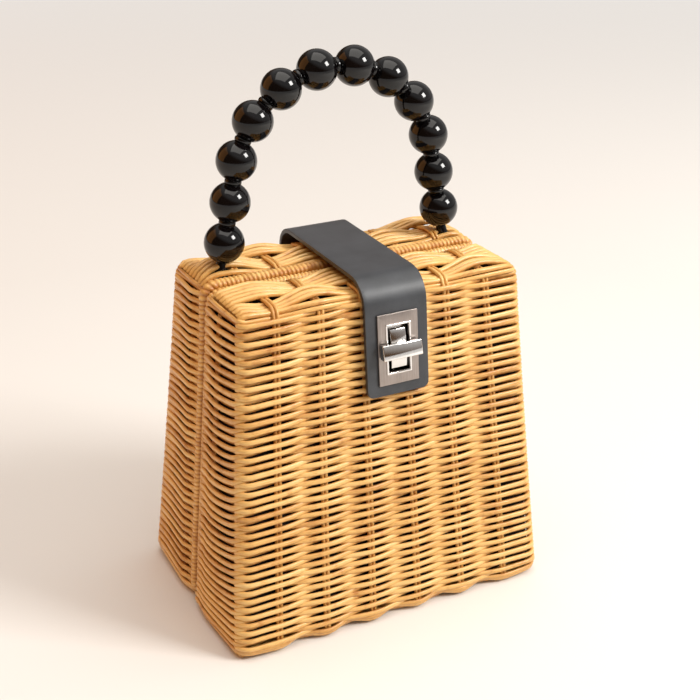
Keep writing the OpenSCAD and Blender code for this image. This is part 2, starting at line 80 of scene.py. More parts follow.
class Grain(Enum):
    """Which way a cane's fibres run, as noise frequencies along X, Y and Z."""

    LEVEL = (70.0, 70.0, 2600.0)
    CROSSWISE = (70.0, 2600.0, 1200.0)
    UPRIGHT = (2600.0, 2600.0, 70.0)
    WOUND = (420.0, 420.0, 420.0)


class Part(Enum):
    """The halves of the basket, by the side of the seam that they lie on."""

    FRONT = -1
    BACK = 1

    @property
    def word(self) -> str:
        """The half's name, as the names of its pieces start."""
        return self.name.lower()

    @property
    def body(self) -> str:
        """The body that its pieces ride on."""
        return f"{self.word}_half"


class Wire:
    """A shader socket that can stand in a Python expression on values."""

    def __init__(self, book: "FinishBook", socket: Optional[bpy.types.NodeSocket]) -> None:
        """Keeps an output socket, or None for a node without one, and the book that holds it."""
        self.book = book
        self.socket = socket

    def _math(self, operation: str, first: Any, second: Any) -> "Wire":
        """The result of a Math node on two values or wires."""
        return self.book.add("ShaderNodeMath", {"operation": operation}, {0: first, 1: second})

    def __add__(self, other: Any) -> "Wire":
        """The sum of the wire and another value."""
        return self._math("ADD", self, other)

    def __radd__(self, other: Any) -> "Wire":
        """The sum of another value and the wire."""
        return self._math("ADD", other, self)

    def __sub__(self, other: Any) -> "Wire":
        """The wire less another value."""
        return self._math("SUBTRACT", self, other)

    def __mul__(self, other: Any) -> "Wire":
        """The product of the wire and another value."""
        return self._math("MULTIPLY", self, other)

    def __pow__(self, other: Any) -> "Wire":
        """The wire raised to a power."""
        return self._math("POWER", self, other)


class FinishBook:
    """The node tree of one finish or of the surroundings."""

    def __init__(self, owner: Union[Material, bpy.types.World]) -> None:
        """Starts an empty tree.

        Args:
            owner: The material or world that gets the nodes.
        """
        self.owner = owner
        owner.use_nodes = True
        self.tree = owner.node_tree
        self.tree.nodes.clear()

    @classmethod
    def named(cls, name: str) -> "FinishBook":
        """A book for a new material of this name."""
        return cls(bpy.data.materials.new(name))

    def add(self, kind: str, settings: Optional[dict[str, Any]] = None,
            inputs: Optional[dict[Union[int, str], Any]] = None, out: Union[int, str] = 0) -> Wire:
        """Adds a node, sets it and links it.

        Args:
            kind: The node's type.
            settings: Its properties, or a ramp's stops, set before its sockets.
            inputs: Values or wires by socket name or number.
            out: The output that is wanted.

        Returns:
            That output.
        """
        node = self.tree.nodes.new(kind)
        for key, value in (settings or {}).items():
            if key == "stops":
                ramp = node.color_ramp.elements
                while len(ramp) < len(value):
                    ramp.new(1.0)
                for element, (place, colour) in zip(ramp, value):
                    element.position = place
                    element.color = (*colour, 1.0)
            else:
                setattr(node, key, value)
        for key, value in (inputs or {}).items():
            if isinstance(value, Wire):
                self.tree.links.new(value.socket, node.inputs[key])
            else:
                node.inputs[key].default_value = value
        return Wire(self, node.outputs[out] if node.outputs else None)

    def place(self, scale: Sequence[float] = (1.0, 1.0, 1.0)) -> Wire:
        """Object coordinates, stretched by factors along X, Y and Z."""
        at = self.add("ShaderNodeTexCoord", out="Object")
        return self.add("ShaderNodeMapping", None, {"Vector": at, "Scale": tuple(scale)})

    def noise(self, at: Wire, scale: float, detail: float = 2.0) -> Wire:
        """A noise value from 0 to 1, of a frequency and a number of finer layers."""
        return self.add("ShaderNodeTexNoise", None, {
            "Vector": at, "Scale": scale, "Detail": detail, "Roughness": NOISE_ROUGHNESS}, "Fac")

    def ramp(self, value: Wire, stops: Sequence[tuple[float, Colour]]) -> Wire:
        """A colour that a value picks between the stops of a ramp."""
        return self.add("ShaderNodeValToRGB", {"stops": stops}, {"Fac": value}, "Color")

    def bump(self, height: Wire, strength: float, distance: float) -> Wire:
        """A normal bumped by a height from 0 to 1, whose 1 stands for a distance in metres."""
        return self.add("ShaderNodeBump", None,
                        {"Height": height, "Strength": strength, "Distance": distance}, "Normal")

    def finish(self, inputs: dict[str, Any]) -> Material:
        """Adds the surface shader and the output.

        Args:
            inputs: The surface shader's sockets.

        Returns:
            The material.
        """
        surface = self.add("ShaderNodeBsdfPrincipled", None, inputs)
        self.add("ShaderNodeOutputMaterial", None, {"Surface": surface})
        return self.owner


@dataclass(frozen=True)
class CaneFinish:
    """Lacquered cane, with fibres, a tone for each strand and slow changes along it."""

    name: str
    grain: Grain
    deep: Colour = (0.48, 0.185, 0.03)
    middle: Colour = (0.80, 0.45, 0.13)
    pale: Colour = (0.93, 0.64, 0.26)
    shift: float = 0.0
    tone_share: float = 0.42
    slow_share: float = 0.34
    fibre_share: float = 0.34
    mark_share: float = 1.4
    slow_scale: float = 38.0
    mark_scale: float = 150.0

    def material(self) -> Material:
        """Makes the material.

        Returns:
            The material.
        """
        book = FinishBook.named(self.name)
        # the tone attribute holds each cane's own tone, lowered by painted shade where canes touch, in the
        # winding's grooves and on its flank facing the seam
        tone = book.add("ShaderNodeAttribute", {"attribute_name": "tone"}, out="Fac")
        slow = book.noise(book.place(), self.slow_scale)
        fibre = book.noise(book.place(self.grain.value), 1.0, 3.0)
        mark = book.noise(book.place(), self.mark_scale, 3.0) ** 5.0
        value = tone * self.tone_share + slow * self.slow_share + fibre * self.fibre_share
        value = value - mark * self.mark_share + self.shift
        colour = book.ramp(value, [(0.12, self.deep), (0.48, self.middle), (0.86, self.pale)])
        return book.finish({
            "Base Color": colour,
            "Roughness": 0.27 + fibre * 0.26,
            "Normal": book.bump(fibre, 0.35, 0.12 * MM),
            "Coat Weight": 0.22,
            "Coat Roughness": 0.16,
        })


@dataclass(frozen=True)
class BeadFinish:
    """Black high gloss with a breath of dust and fine polishing marks."""

    name: str = "bead_black"
    colour: Colour = (0.0012, 0.001, 0.0012)
    warm: Colour = (0.004, 0.0026, 0.0028)
    cloud_scale: float = 90.0
    dust_scale: float = 900.0

    def material(self) -> Material:
        """Makes the material.

        Returns:
            The material.
        """
        book = FinishBook.named(self.name)
        cloud = book.noise(book.place(), self.cloud_scale, 3.0)
        dust = book.noise(book.place(), self.dust_scale) ** 6.0
        return book.finish({
            "Base Color": book.ramp(cloud, [(0.35, self.colour), (0.75, self.warm)]),
            "Roughness": 0.05 + cloud * 0.05 + dust * 0.5,
            "Specular IOR Level": 0.4,
            "Coat Weight": 0.06,
            "Coat Roughness": 0.03,
        })


@dataclass(frozen=True)
class LeatherFinish:
    """Smooth dark leather with a fine grain."""

    name: str
    dark: Colour = (0.027, 0.029, 0.033)
    light: Colour = (0.060, 0.064, 0.072)
    roughness: float = 0.37
    grain_height: float = 0.09
    cell_scale: float = 1500.0
    pore_scale: float = 2400.0
    cloud_scale: float = 60.0

    def material(self) -> Material:
        """Makes the material.

        Returns:
            The material.
        """
        book = FinishBook.named(self.name)
        at = book.place()
        cells = book.add("ShaderNodeTexVoronoi", {"feature": "DISTANCE_TO_EDGE"},
                         {"Vector": at, "Scale": self.cell_scale}, "Distance")
        pores = book.noise(at, self.pore_scale, 3.0)
        cloud = book.noise(at, self.cloud_scale, 4.0)
        height = cells * 0.9 + pores * 0.5
        return book.finish({
            "Base Color": book.ramp(cloud * 0.7 + pores * 0.3, [(0.3, self.dark), (0.72, self.light)]),
            "Roughness": self.roughness + pores * 0.14 - cells * 0.12,
            "Normal": book.bump(height, 0.4, self.grain_height * MM),
            "Sheen Weight": 0.12,
            "Sheen Roughness": 0.4,
        })


@dataclass(frozen=True)
class ClothFinish:
    """Plain woven cotton."""

    name: str
    dark: Colour = (0.008, 0.008, 0.009)
    light: Colour = (0.02, 0.02, 0.022)
    threads: float = 2600.0
    cloud_scale: float = 45.0

    def material(self) -> Material:
        """Makes the material.

        Returns:
            The material.
        """
        book = FinishBook.named(self.name)
        weave = book.noise(book.place((1.0, 1.0, 0.2)), self.threads, 1.0)
        weft = book.noise(book.place((0.2, 0.2, 1.0)), self.threads, 1.0)
        cloud = book.noise(book.place(), self.cloud_scale, 3.0)
        value = weave * 0.4 + weft * 0.4 + cloud * 0.2
        return book.finish({
            "Base Color": book.ramp(value, [(0.35, self.dark), (0.65, self.light)]),
            "Roughness": 0.78 + weave * 0.15,
            "Normal": book.bump(weave + weft, 0.4, 0.12 * MM),
        })


@dataclass(frozen=True)
class MetalFinish:
    """Plated metal, brushed along one direction or polished."""

    name: str
    colour: Colour
    shade: Colour
    roughness: float
    streak: float
    brushed: Triple = (2200.0, 60.0, 60.0)
    smear_scale: float = 120.0

    def material(self) -> Material:
        """Makes the material.

        Returns:
            The material.
        """
        book = FinishBook.named(self.name)
        lines = book.noise(book.place(self.brushed), 1.0, 3.0)
        smear = book.noise(book.place(), self.smear_scale, 3.0)
        value = lines * 0.6 + smear * 0.4
        return book.finish({
            "Base Color": book.ramp(value, [(0.3, self.shade), (0.7, self.colour)]),
            "Metallic": 1.0,
            "Roughness": self.roughness + lines * self.streak + smear * self.streak * 0.6,
            "Normal": book.bump(lines, 0.2 * min(1.0, self.streak * 8.0), 0.03 * MM),
        })


@dataclass
class Strand:
    """One length of cane: its middle line, its radius at each point and its tone."""

    points: list[Vector]
    radius: Union[float, list[float]]
    tone: float = 0.5

    def radii(self) -> list[float]:
        """The radius at each point, closing to a tip at both ends.

        Returns:
            The radii.
        """
        if isinstance(self.radius, list):
            return self.radius
        inner = [self.radius] * (len(self.points) - 2)
        return [self.radius * TIP_SHARE, *inner, self.radius * TIP_SHARE]


def ease(knots: Knots, at: float) -> float:
    """A smooth value between knots.

    Args:
        knots: Places and values, in order of place.
        at: The place that is wanted.

    Returns:
        The value there.
    """
    if at <= knots[0][0]:
        return knots[0][1]
    for (a, low), (b, high) in zip(knots, knots[1:]):
        if at <= b:
            return low + (high - low) * (1.0 - math.cos(math.pi * (at - a) / (b - a))) / 2.0
    return knots[-1][1]


def arc_points(centre: Pair, radius: float, start: float, end: float, steps: int) -> list[Pair]:
    """Points round an arc in equal steps from its first angle to its last, both ends included."""
    angles = [start + (end - start) * i / steps for i in range(steps + 1)]
    return [(centre[0] + radius * math.cos(a), centre[1] + radius * math.sin(a)) for a in angles]


def lengths_along(line: Sequence[Sequence[float]]) -> list[float]:
    """Distances along a line to each of its points."""
    return list(accumulate((math.dist(a, b) for a, b in zip(line, line[1:])), initial=0.0))


def link_new(name: str, data: Optional[bpy.types.ID]) -> Piece:
    """Puts a new object in the scene at the origin.

    Args:
        name: The object's name.
        data: Its mesh, curve, lamp or camera, or None for an empty.

    Returns:
        The object.
    """
    thing = bpy.data.objects.new(name, data)
    bpy.context.scene.collection.objects.link(thing)
    return thing


def add_object(name: str, mesh: bpy.types.Mesh) -> Piece:
    """Puts a mesh in the scene with smooth shading."""
    mesh.polygons.foreach_set("use_smooth", [True] * len(mesh.polygons))
    return link_new(name, mesh)


def from_bmesh(name: str, bm: bmesh.types.BMesh, place: Optional[Matrix] = None) -> Piece:
    """Makes an object of a bmesh and frees it.

    Args:
        name: The object's name.
        bm: The shape.
        place: Where it goes, put into its mesh.

    Returns:
        The object.
    """
    if place is not None:
        bmesh.ops.transform(bm, matrix=place, verts=bm.verts)
    bmesh.ops.recalc_face_normals(bm, faces=bm.faces)
    mesh = bpy.data.meshes.new(name)
    bm.to_mesh(mesh)
    bm.free()
    return add_object(name, mesh)


def sweep(name: str, strands: Sequence[Strand], sides: int, twist: str = "Z_UP") -> Piece:
    """Makes one mesh of many round canes.

    Args:
        name: The object's name.
        strands: The canes.
        sides: Sides of a cane, an even number.
        twist: How the section keeps its turn along a cane.

    Returns:
        The object, with the tone of each cane as an attribute of its points.
    """
    curve = bpy.data.curves.new(name, "CURVE")
    curve.dimensions = "3D"
    curve.twist_mode = twist
    curve.bevel_depth = MM
    curve.bevel_resolution = sides // 2 - 2
    for strand in strands:
        spline = curve.splines.new("POLY")
        spline.points.add(len(strand.points) - 1)
        spline.points.foreach_set("co", [c for p in strand.points for c in (*p, 1.0)])
        spline.points.foreach_set("radius", [r / MM for r in strand.radii()])
    holder = link_new(name, curve)
    graph = bpy.context.evaluated_depsgraph_get()
    mesh = bpy.data.meshes.new_from_object(holder.evaluated_get(graph))
    bpy.data.objects.remove(holder)
    bpy.data.curves.remove(curve)
    tones = [s.tone for s in strands for _ in range(len(s.points) * sides)]
    tone = mesh.attributes.new("tone", "FLOAT", "POINT")
    tone.data.foreach_set("value", tones)
    mesh.name = name
    return add_object(name, mesh)


def close_tips(piece: Piece) -> None:
    """Merges the points of each cane's tip.

    Args:
        piece: The canes.
    """
    bm = bmesh.new()
    bm.from_mesh(piece.data)
    bmesh.ops.remove_doubles(bm, verts=bm.verts, dist=TIP_MERGE)
    bm.to_mesh(piece.data)
    bm.free()


def read_points(piece: Piece) -> np.ndarray:
    """The places of a piece's points, one to a row.

    Args:
        piece: The piece.

    Returns:
        The places.
    """
    co = np.empty(len(piece.data.vertices) * 3)
    piece.data.vertices.foreach_get("co", co)
    return co.reshape(-1, 3)


def new_verts(made: dict[str, Any]) -> list[bmesh.types.BMVert]:
    """The points among what an operator has made."""
    return [v for v in made["geom"] if isinstance(v, bmesh.types.BMVert)]


def modify(piece: Piece, name: str, kind: str, settings: dict[str, Any]) -> None:
    """Gives a piece a modifier.

    Args:
        piece: The piece.
        name: The modifier's name.
        kind: Its type.
        settings: Its properties.
    """
    modifier = piece.modifiers.new(name, kind)
    for key, value in settings.items():
        setattr(modifier, key, value)


def bake_modifiers(piece: Piece) -> Piece:
    """Works a piece's modifiers into its mesh.

    Args:
        piece: The piece.

    Returns:
        The piece.
    """
    graph = bpy.context.evaluated_depsgraph_get()
    mesh = bpy.data.meshes.new_from_object(piece.evaluated_get(graph))
    old = piece.data
    piece.modifiers.clear()
    piece.data = mesh
    mesh.name = piece.name
    bpy.data.meshes.remove(old)
    mesh.polygons.foreach_set("use_smooth", [True] * len(mesh.polygons))
    mesh.set_sharp_from_angle(angle=SHARP_ANGLE)
    return piece


def dress(piece: Piece, material: Material, body: str,
          nodes: Iterable[str] = ()) -> Piece:
    """Gives a new piece its finish, its body and the solids that it stands for.

    Args:
        piece: The piece.
        material: Its finish.
        body: The body that it rides on.
        nodes: The solids that it replaces.

    Returns:
        The piece.
    """
    if not piece.data.materials:
        piece.data.materials.append(material)
    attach(piece, body)
    for node in nodes:
        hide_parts(node)
    LOG.info("%s: %d faces on %s", piece.name, len(piece.data.polygons), body)
    return piece


@dataclass(frozen=True)
class Outline:
    """Level outline of one half: side wall, corner, wide wall, corner and side wall, from rim to rim."""

    z: float
    w: float
    d: float
    r: float
    rim_y: float

    @property
    def run(self) -> float:
        """Length of a side wall from its rim to the corner."""
        return self.d - self.r - self.rim_y

    @property
    def arc(self) -> float:
        """Length round a corner."""
        return self.r * QUARTER

    @property
    def wide(self) -> float:
        """Length of the wide wall between its corners."""
        return 2.0 * (self.w - self.r)

    @property
    def total(self) -> float:
        """Length from rim to rim."""
        return 2.0 * (self.run + self.arc) + self.wide


@dataclass(frozen=True)
class BagShape:
    """Outer form that the basket, the rims, the strap and the lock share, in metres."""

    height: float = 0.178
    base_w: float = 0.183
    top_w: float = 0.155
    base_d: float = 0.123
    top_d: float = 0.084
    corner_low: float = 0.0096
    corner_top: float = 0.0062
    corner_least: float = 0.003
    corner_power: float = 2.5
    top_r: float = 0.007
    base_r: float = 0.0055
    mouth_y: float = 0.0058
    rim_y: float = 0.0029
    rim_inset: float = 0.0034
    hinge_z: float = 0.0046
    stakes: int = 6
    corner_share: float = 0.91
    strap_x: float = 0.0028
    lock_z: float = 0.1488

    @property
    def lean(self) -> float:
        """How far the front and back walls lean, in radians."""
        return math.atan((self.base_d - self.top_d) / 2.0 / self.height)

    def half_w(self, z: float) -> float:
        """Half the width at a height."""
        return self.base_w / 2.0 - (self.base_w - self.top_w) / 2.0 * z / self.height

    def half_d(self, z: float) -> float:
        """The depth of one half at a height."""
        return self.base_d / 2.0 - (self.base_d - self.top_d) / 2.0 * z / self.height

    def corner(self, z: float, inset: float = 0.0) -> float:
        """Radius of the upright corners at a height, rounder towards the base, less an edge's inset."""
        share = min(1.0, max(0.0, z / self.height)) ** self.corner_power
        return max(self.corner_low + (self.corner_top - self.corner_low) * share - inset, self.corner_least)

    def stake_x(self, j: int, z: float) -> float:
        """Middle of a stake at a height."""
        bays = self.stakes - 1 + 2.0 * self.corner_share
        return (j - (self.stakes - 1) / 2.0) * 2.0 * self.half_w(z) / bays

    def outline(self, z: float, inset: float = 0.0) -> Outline:
        """The outline at a height, drawn in by an inset where an edge is rounded."""
        return Outline(z, self.half_w(z) - inset, self.half_d(z) - inset, self.corner(z, inset), self.rim_y)

    def wall_point(self, at: float, depth: float, z: float, inset: float = 0.0) -> Vector:
        """A point of the front half's walls.

        Args:
            at: Distance along the outside from the right rim.
            depth: Distance in from the outside.
            z: Height.
            inset: How far the outside is drawn in there by a rounded edge.

        Returns:
            The point.
        """
        o = self.outline(z, inset)
        start, stop = o.run + o.arc, o.run + o.arc + o.wide
        if at < o.run:
            return Vector((o.w - depth, -(o.rim_y + at), z))
        if at > stop + o.arc:
            return Vector((depth - o.w, at - stop - o.arc - (o.d - o.r), z))
        if start <= at <= stop:
            return Vector((o.w - o.r - (at - start), depth - o.d, z))
        right = at < start
        turned = (at - o.run) / o.r if right else QUARTER + (at - stop) / o.r
        x = o.w - o.r if right else o.r - o.w
        return Vector((x + (o.r - depth) * math.cos(turned), o.r - o.d - (o.r - depth) * math.sin(turned), z))

    def front_place(self, z: float) -> Matrix:
        """A frame on the front wall at a height, with Y up the wall and Z out of it."""
        turn = Matrix.Rotation(QUARTER - self.lean, 4, "X")
        return Matrix.Translation((self.strap_x, -self.half_d(z), z)) @ turn


@dataclass
class HalfBasket:
    """One woven half: rows of cane round its walls, canes along its top and base, and stakes."""

    shape: BagShape
    part: Part
    pitch: float = 2.17 * MM
    cane_r: float = 1.42 * MM
    cane_flat: float = 0.72
    cane_sizes: Pair = (0.93, 1.05)
    edge_cane_r: float = 0.95 * MM
    top_cane_r: float = 1.5 * MM
    top_flat: float = 0.95
    top_sizes: Pair = (0.9, 1.06)
    top_pitch: float = 3.9 * MM
    base_cane_r: float = 1.2 * MM
    base_loops: int = 4
    stake_r: float = 1.0 * MM
    stake_gap: float = 1.06 * MM
    stake_deep: float = 2.85 * MM
    stake_tops: Pair = (1.1 * MM, 2.4 * MM)
    stake_ease: Knots = ((0.6, 0.0), (1.4, 1.0))
    stake_shares: Pair = (0.86, 0.46)
    stake_ends: Pair = (3.0 * MM, 4.0 * MM)
    stake_points: int = 24
    stake_turns: int = 5
    stake_sides: int = 6
    post_ends: Pair = (5.0 * MM, 8.0 * MM)
    side_stake_ends: Pair = (4.0 * MM, 5.0 * MM)
    post_points: int = 20
    over: float = 1.02 * MM
    under: float = 4.25 * MM
    cross_shift: float = 0.12 * MM
    step: float = 3.3 * MM
    back_rim: Knots = ((2.2 * MM, 3.9 * MM),)
    front_rims: tuple[Knots, Knots] = (
        ((-1.7 * MM, 3.4 * MM), (-0.8 * MM, 1.5 * MM), (1.0 * MM, 0.5 * MM), (3.2 * MM, 0.8 * MM)),
        ((-1.4 * MM, 3.4 * MM), (-0.3 * MM, 1.9 * MM), (1.6 * MM, 1.2 * MM), (3.6 * MM, 2.0 * MM)),
    )
    side_stake: float = 16.0 * MM
    side_depths: Pair = (0.25 * MM, 2.8 * MM)
    corner_depths: Pair = (1.25 * MM, 3.8 * MM)
    back_corner_depths: Pair = (1.0 * MM, 1.9 * MM)
    corner_lead: float = 3.0 * MM
    corner_marks: Pair = (0.4, 0.82)
    corner_sink: float = 0.4 * MM
    braid_corner: float = 1.0 * MM
    braid_bay: float = 2.8 * MM
    seam_drops: Pair = (16.0 * MM, -5.0 * MM)
    seam_low: float = 45.0 * MM
    seam_fade: float = 0.7
    seam_ends: Pair = (0.6, 0.7)
    wave: float = 0.2 * MM
    wave_rates: Triple = (61.0, 97.0, 0.09)
    wave_phase: float = 6.28
    sags: Pair = (0.08 * MM, 0.3 * MM)
    swells: Pair = (0.3 * MM, 1.2 * MM)
    foot_swells: Pair = (0.0, 3.6 * MM)
    foot: Pair = (63.5 * MM, 12.0 * MM)
    foot_spread: float = 11.0 * MM
    swell_at_seam: Knots = ((6.5 * MM, 0.65), (12.0 * MM, 1.0))
    swell_at_sides: Knots = ((66.0 * MM, 1.0), (77.0 * MM, 0.0))
    top_bulge: float = 1.9 * MM
    top_sink: float = 2.2 * MM
    top_shifts: Pair = (0.3 * MM, 0.2 * MM)
    rim_press: float = 0.75
    strap_reach: float = 17.0 * MM
    strap_press: float = 0.45
    base_bulge: float = -0.25 * MM
    base_reach: float = 0.6
    bundle: int = 5
    spread: float = 0.16
    edge_turn: float = math.radians(42.0)
    tuck_from: float = 0.7
    tucks: Pair = (3.4 * MM, 4.0 * MM)
    tail: float = 4.0 * MM
    tones: Pair = (0.52, 0.2)
    # painted shade: how far the tone drops where a cane faces its neighbours, and how tightly that darkening
    # hugs the touching side
    touch_dark: float = 0.5
    touch_power: int = 6
    corner_steps: int = 7
    sides: int = 8
    seed: int = 7
    rng: random.Random = field(init=False)

    def __post_init__(self) -> None:
        """Seeds the small differences between canes."""
        self.rng = random.Random(self.seed + self.part.value)

    def side(self, x: float, y: float, z: float) -> Vector:
        """A point given for the front half, moved to this half."""
        return Vector((x, -y * self.part.value, z))

    def jitter(self, most: float) -> float:
        """A small difference between canes, up to the most to either side."""
        return self.rng.uniform(-most, most)

    def crossing(self, count: int) -> float:
        """Depth of a row at a stake, in front of it or behind."""
        return (self.under if count % 2 else self.over) + self.jitter(self.cross_shift)

    def tone(self) -> float:
        """A tone for one cane."""
        return min(1.0, max(0.0, self.rng.gauss(*self.tones)))

    def end_knots(self, k: int, o: Outline, depth: float) -> list[Pair]:
        """Depths of a row from its end, where it goes round the rim or into it, past the corner.

        Args:
            k: The row's number, or one more for its left end.
            o: The outline at its height.
            depth: Its depth at the nearest stake of the wide wall.

        Returns:
            Distances from the rim and depths there.
        """
        back = self.part is Part.BACK
        odd = k % 2
        dips = self.back_corner_depths if back else self.corner_depths
        first, second = self.corner_marks
        return [
            *(self.back_rim if back else self.front_rims[odd]),
            (self.side_stake - o.rim_y, self.side_depths[odd]),
            (o.run - self.corner_lead, dips[odd]),
            (o.run + o.arc * first, self.over + self.corner_sink),
            (o.run + o.arc * second, (2.0 * depth + self.over) / 3.0),
        ]

    def row_knots(self, k: int, o: Outline, braid: bool) -> list[Pair]:
        """Depths of a row along its way from rim to rim.

        Args:
            k: The row's number.
            o: The outline at its height.
            braid: Whether it bulges at every stake.

        Returns:
            Distances from the right rim and depths there.
        """
        s, over = self.shape, self.over
        places = [o.run + o.arc + o.w - o.r - s.stake_x(j, o.z) for j in reversed(range(s.stakes))]
        if braid:
            right = [(0.0, s.rim_inset), (self.side_stake - s.rim_y, over),
                     (o.run + o.arc * 0.5, over + self.braid_corner)]
            bays = [((a + b) / 2.0, over + self.braid_bay) for a, b in zip(places, places[1:])]
            middle, left = sorted([(a, over) for a in places] + bays), right
        else:
            depths = [self.crossing(k + j) for j in reversed(range(s.stakes))]
            middle = list(zip(places, depths))
            right, left = self.end_knots(k, o, depths[0]), self.end_knots(k + 1, o, depths[-1])
        return right + middle + [(o.total - at, depth) for at, depth in reversed(left)]

    def seam_drop(self, at: float, o: Outline) -> float:
        """How far a row of the side walls lies lower on its way from the corner to the seam.

        Args:
            at: Distance along the row from the right rim.
            o: The outline at its height in the wide wall.

        Returns:
            The drop.
        """
        most = self.seam_drops[self.part is Part.BACK]
        most *= 1.0 - math.exp(-o.z / self.seam_low)
        most *= max(0.0, 1.0 - o.z / self.shape.height) ** self.seam_fade
        start = self.seam_ends[0] * (self.side_stake - o.rim_y)
        end = o.run + self.seam_ends[1] * o.r
        share = min(1.0, max(0.0, (min(at, o.total - at) - start) / (end - start)))
        return most * (1.0 - share * share)

    def wall_row(self, k: int, z: float, turned: float = 0.0, inset: float = 0.0) -> Strand:
        """One row round the three walls, from rim to rim.

        Args:
            k: The row's number, which sets where it passes in front of the stakes.
            z: Its height.
            turned: How far the rounded edge has turned there, up at the top and down at the base.
            inset: How far that edge draws it in.

        Returns:
            The cane.
        """
        o = self.shape.outline(z, inset)
        knots = self.row_knots(k, o, turned < 0.0)
        phase, sag = self.rng.uniform(0.0, self.wave_phase), self.rng.uniform(*self.sags)
        sag = 0.0 if turned else sag
        slow, quick, shift = self.wave_rates
        points = []
        for at in self.stops(knots[0][0], knots[-1][0], o):
            depth = ease(knots, at)
            wave = self.wave * math.sin(at * slow + k * shift) + sag * math.sin(at * quick + phase)
            height = z - depth * math.sin(turned) + wave - self.seam_drop(at, o)
            points.append(self.side(*self.shape.wall_point(at, depth * math.cos(turned), height, inset)))
        radius = self.cane_r + (self.edge_cane_r - self.cane_r) * abs(math.sin(turned))
        return Strand(points, radius * self.rng.uniform(*self.cane_sizes), self.tone())

    def stops(self, first: float, last: float, o: Outline) -> list[float]:
        """Distances along a row at which it gets a point, close together round the corners.

        Args:
            first: Where the row starts.
            last: Where it ends.
            o: The outline at its height.

        Returns:
            The distances in order.
        """
        start, stop = o.run + o.arc, o.run + o.arc + o.wide
        marks = [first, o.run, start, stop, stop + o.arc, last]
        found = [first]
        for i, (a, b) in enumerate(zip(marks, marks[1:])):
            count = self.corner_steps if i % 2 else max(2, round((b - a) / self.step))
            found += [a + (b - a) * (n + 1) / count for n in range(count)]
        return found

    def wall_rows(self) -> list[Strand]:
        """All rows of the walls, with those round the base's edge and the lower half of the top's.

        Returns:
            The canes.
        """
        s = self.shape
        low, high = s.base_r, s.height - s.top_r
        count = round((high - low) / self.pitch)
        rows = [self.wall_row(k, low + (high - low) * (k + 0.5) / count) for k in range(count)]
        for i in range(self.base_loops):
            a = QUARTER * (i + 0.6) / (self.base_loops + 0.4)
            rows.append(self.wall_row(i, s.base_r * (1.0 - math.sin(a)), -a, s.base_r * (1.0 - math.cos(a))))
        loops = round(s.top_r * self.edge_turn / self.pitch)
        for i in range(loops):
            a = self.edge_turn * (i + 0.5) / loops
            z, inset = high + s.top_r * math.sin(a), s.top_r * (1.0 - math.cos(a))
            rows.append(self.wall_row(count + i, z, a, inset))
        return rows

    def cap_profile(self, run: float, top: bool) -> tuple[Vector, Vector, float]:
        """A place on the way from the wide wall over the edge to the rim.

        Args:
            run: Distance along that way.
            top: Whether it is on the top.

        Returns:
            The place as y and z, the direction inwards, and how far the edge has turned.
        """
        s = self.shape
        if not top:
            return Vector((0.0, run - s.half_d(0.0) + s.base_r, 0.0)), Vector((0.0, 0.0, 1.0)), QUARTER
        a = min(QUARTER, self.edge_turn + max(run, 0.0) / s.top_r)
        z = s.height - s.top_r * (1.0 - math.sin(a))
        flat = max(0.0, run - s.top_r * (QUARTER - self.edge_turn))
        y = flat - (s.half_d(z) - s.top_r * (1.0 - math.cos(a)))
        return Vector((0.0, y, z)), Vector((0.0, math.cos(a), -math.sin(a))), a

    def cap_row(self, m: int, count: int, top: bool) -> Strand:
        """One cane along the top, with its ends turned over the side edges, or along the base.

        Args:
            m: Its number, counted from the wide wall to the rim.
            count: How many there are.
            top: Whether it is on the top.

        Returns:
            The cane.
        """
        s = self.shape
        pitch, thick = (self.top_pitch, self.top_cane_r) if top else (self.pitch, self.base_cane_r)
        run = (m + 0.5) * pitch
        spot, _, a = self.cap_profile(run, top)
        group, place = divmod(m + 1 if top else m, self.bundle)
        place = (place + 0.5) / self.bundle * 2.0 - 1.0
        near_rim = max(0.0, 1.0 - (count - m - 0.5) / self.bundle)
        raised = self.top_bulge * (1.0 - self.rim_press * near_rim) * (a / QUARTER) ** 2
        bulge = raised if top else self.base_bulge
        edge = s.top_r if top else s.base_r
        bend = s.corner(spot.z) * math.cos(a) ** 2 + edge * math.sin(a) ** 2
        half = s.half_w(spot.z) - bend
        own = self.jitter(self.top_shifts[0]) if top else 0.0
        end = half + bend * 0.5
        knots, waves = [(-end, thick)], [(-end, 0.0)]
        for j in range(s.stakes):
            up = (group + j) % 2 == 1
            stake = s.stake_x(j, spot.z)
            pressed = abs(stake - s.strap_x) < self.strap_reach
            lift = (-bulge * (self.strap_press if pressed else 1.0)) if up else self.top_sink
            knots.append((stake, thick + lift + own + self.jitter(self.top_shifts[1])))
            waves.append((stake, 1.0 if up else -1.0))
        knots.append((end, thick))
        waves.append((end, 0.0))
        arc = bend * QUARTER
        reach = half + (arc + self.tail if top else bend * self.base_reach)
        steps = round(2.0 * reach / self.step)
        points = []
        for i in range(steps + 1):
            at = -reach + 2.0 * reach * i / steps
            out = max(0.0, abs(at) - half)
            turned = min(out / bend, QUARTER) if top else 0.0
            past = max(0.0, out - arc) if top else 0.0
            tuck = self.tucks[0] * max(0.0, turned - self.tuck_from) if top else self.tucks[1] * out / bend
            depth = ease(knots, at) + tuck
            sideways = place * self.spread * ease(waves, at) * self.bundle * pitch / 2.0
            base, inward, _ = self.cap_profile(run + sideways, top)
            depth -= self.swell(at, base.y) if top else 0.0
            over_edge = math.copysign(min(abs(at), half) + (bend - depth) * math.sin(turned), at)
            x = over_edge if out and top else at
            sink = bend - (bend - depth) * math.cos(turned) + past if out and top else depth
            points.append(self.side(*(Vector((x, 0.0, 0.0)) + base + inward * sink)))
        return Strand(points, thick * self.rng.uniform(*self.top_sizes), self.tone())

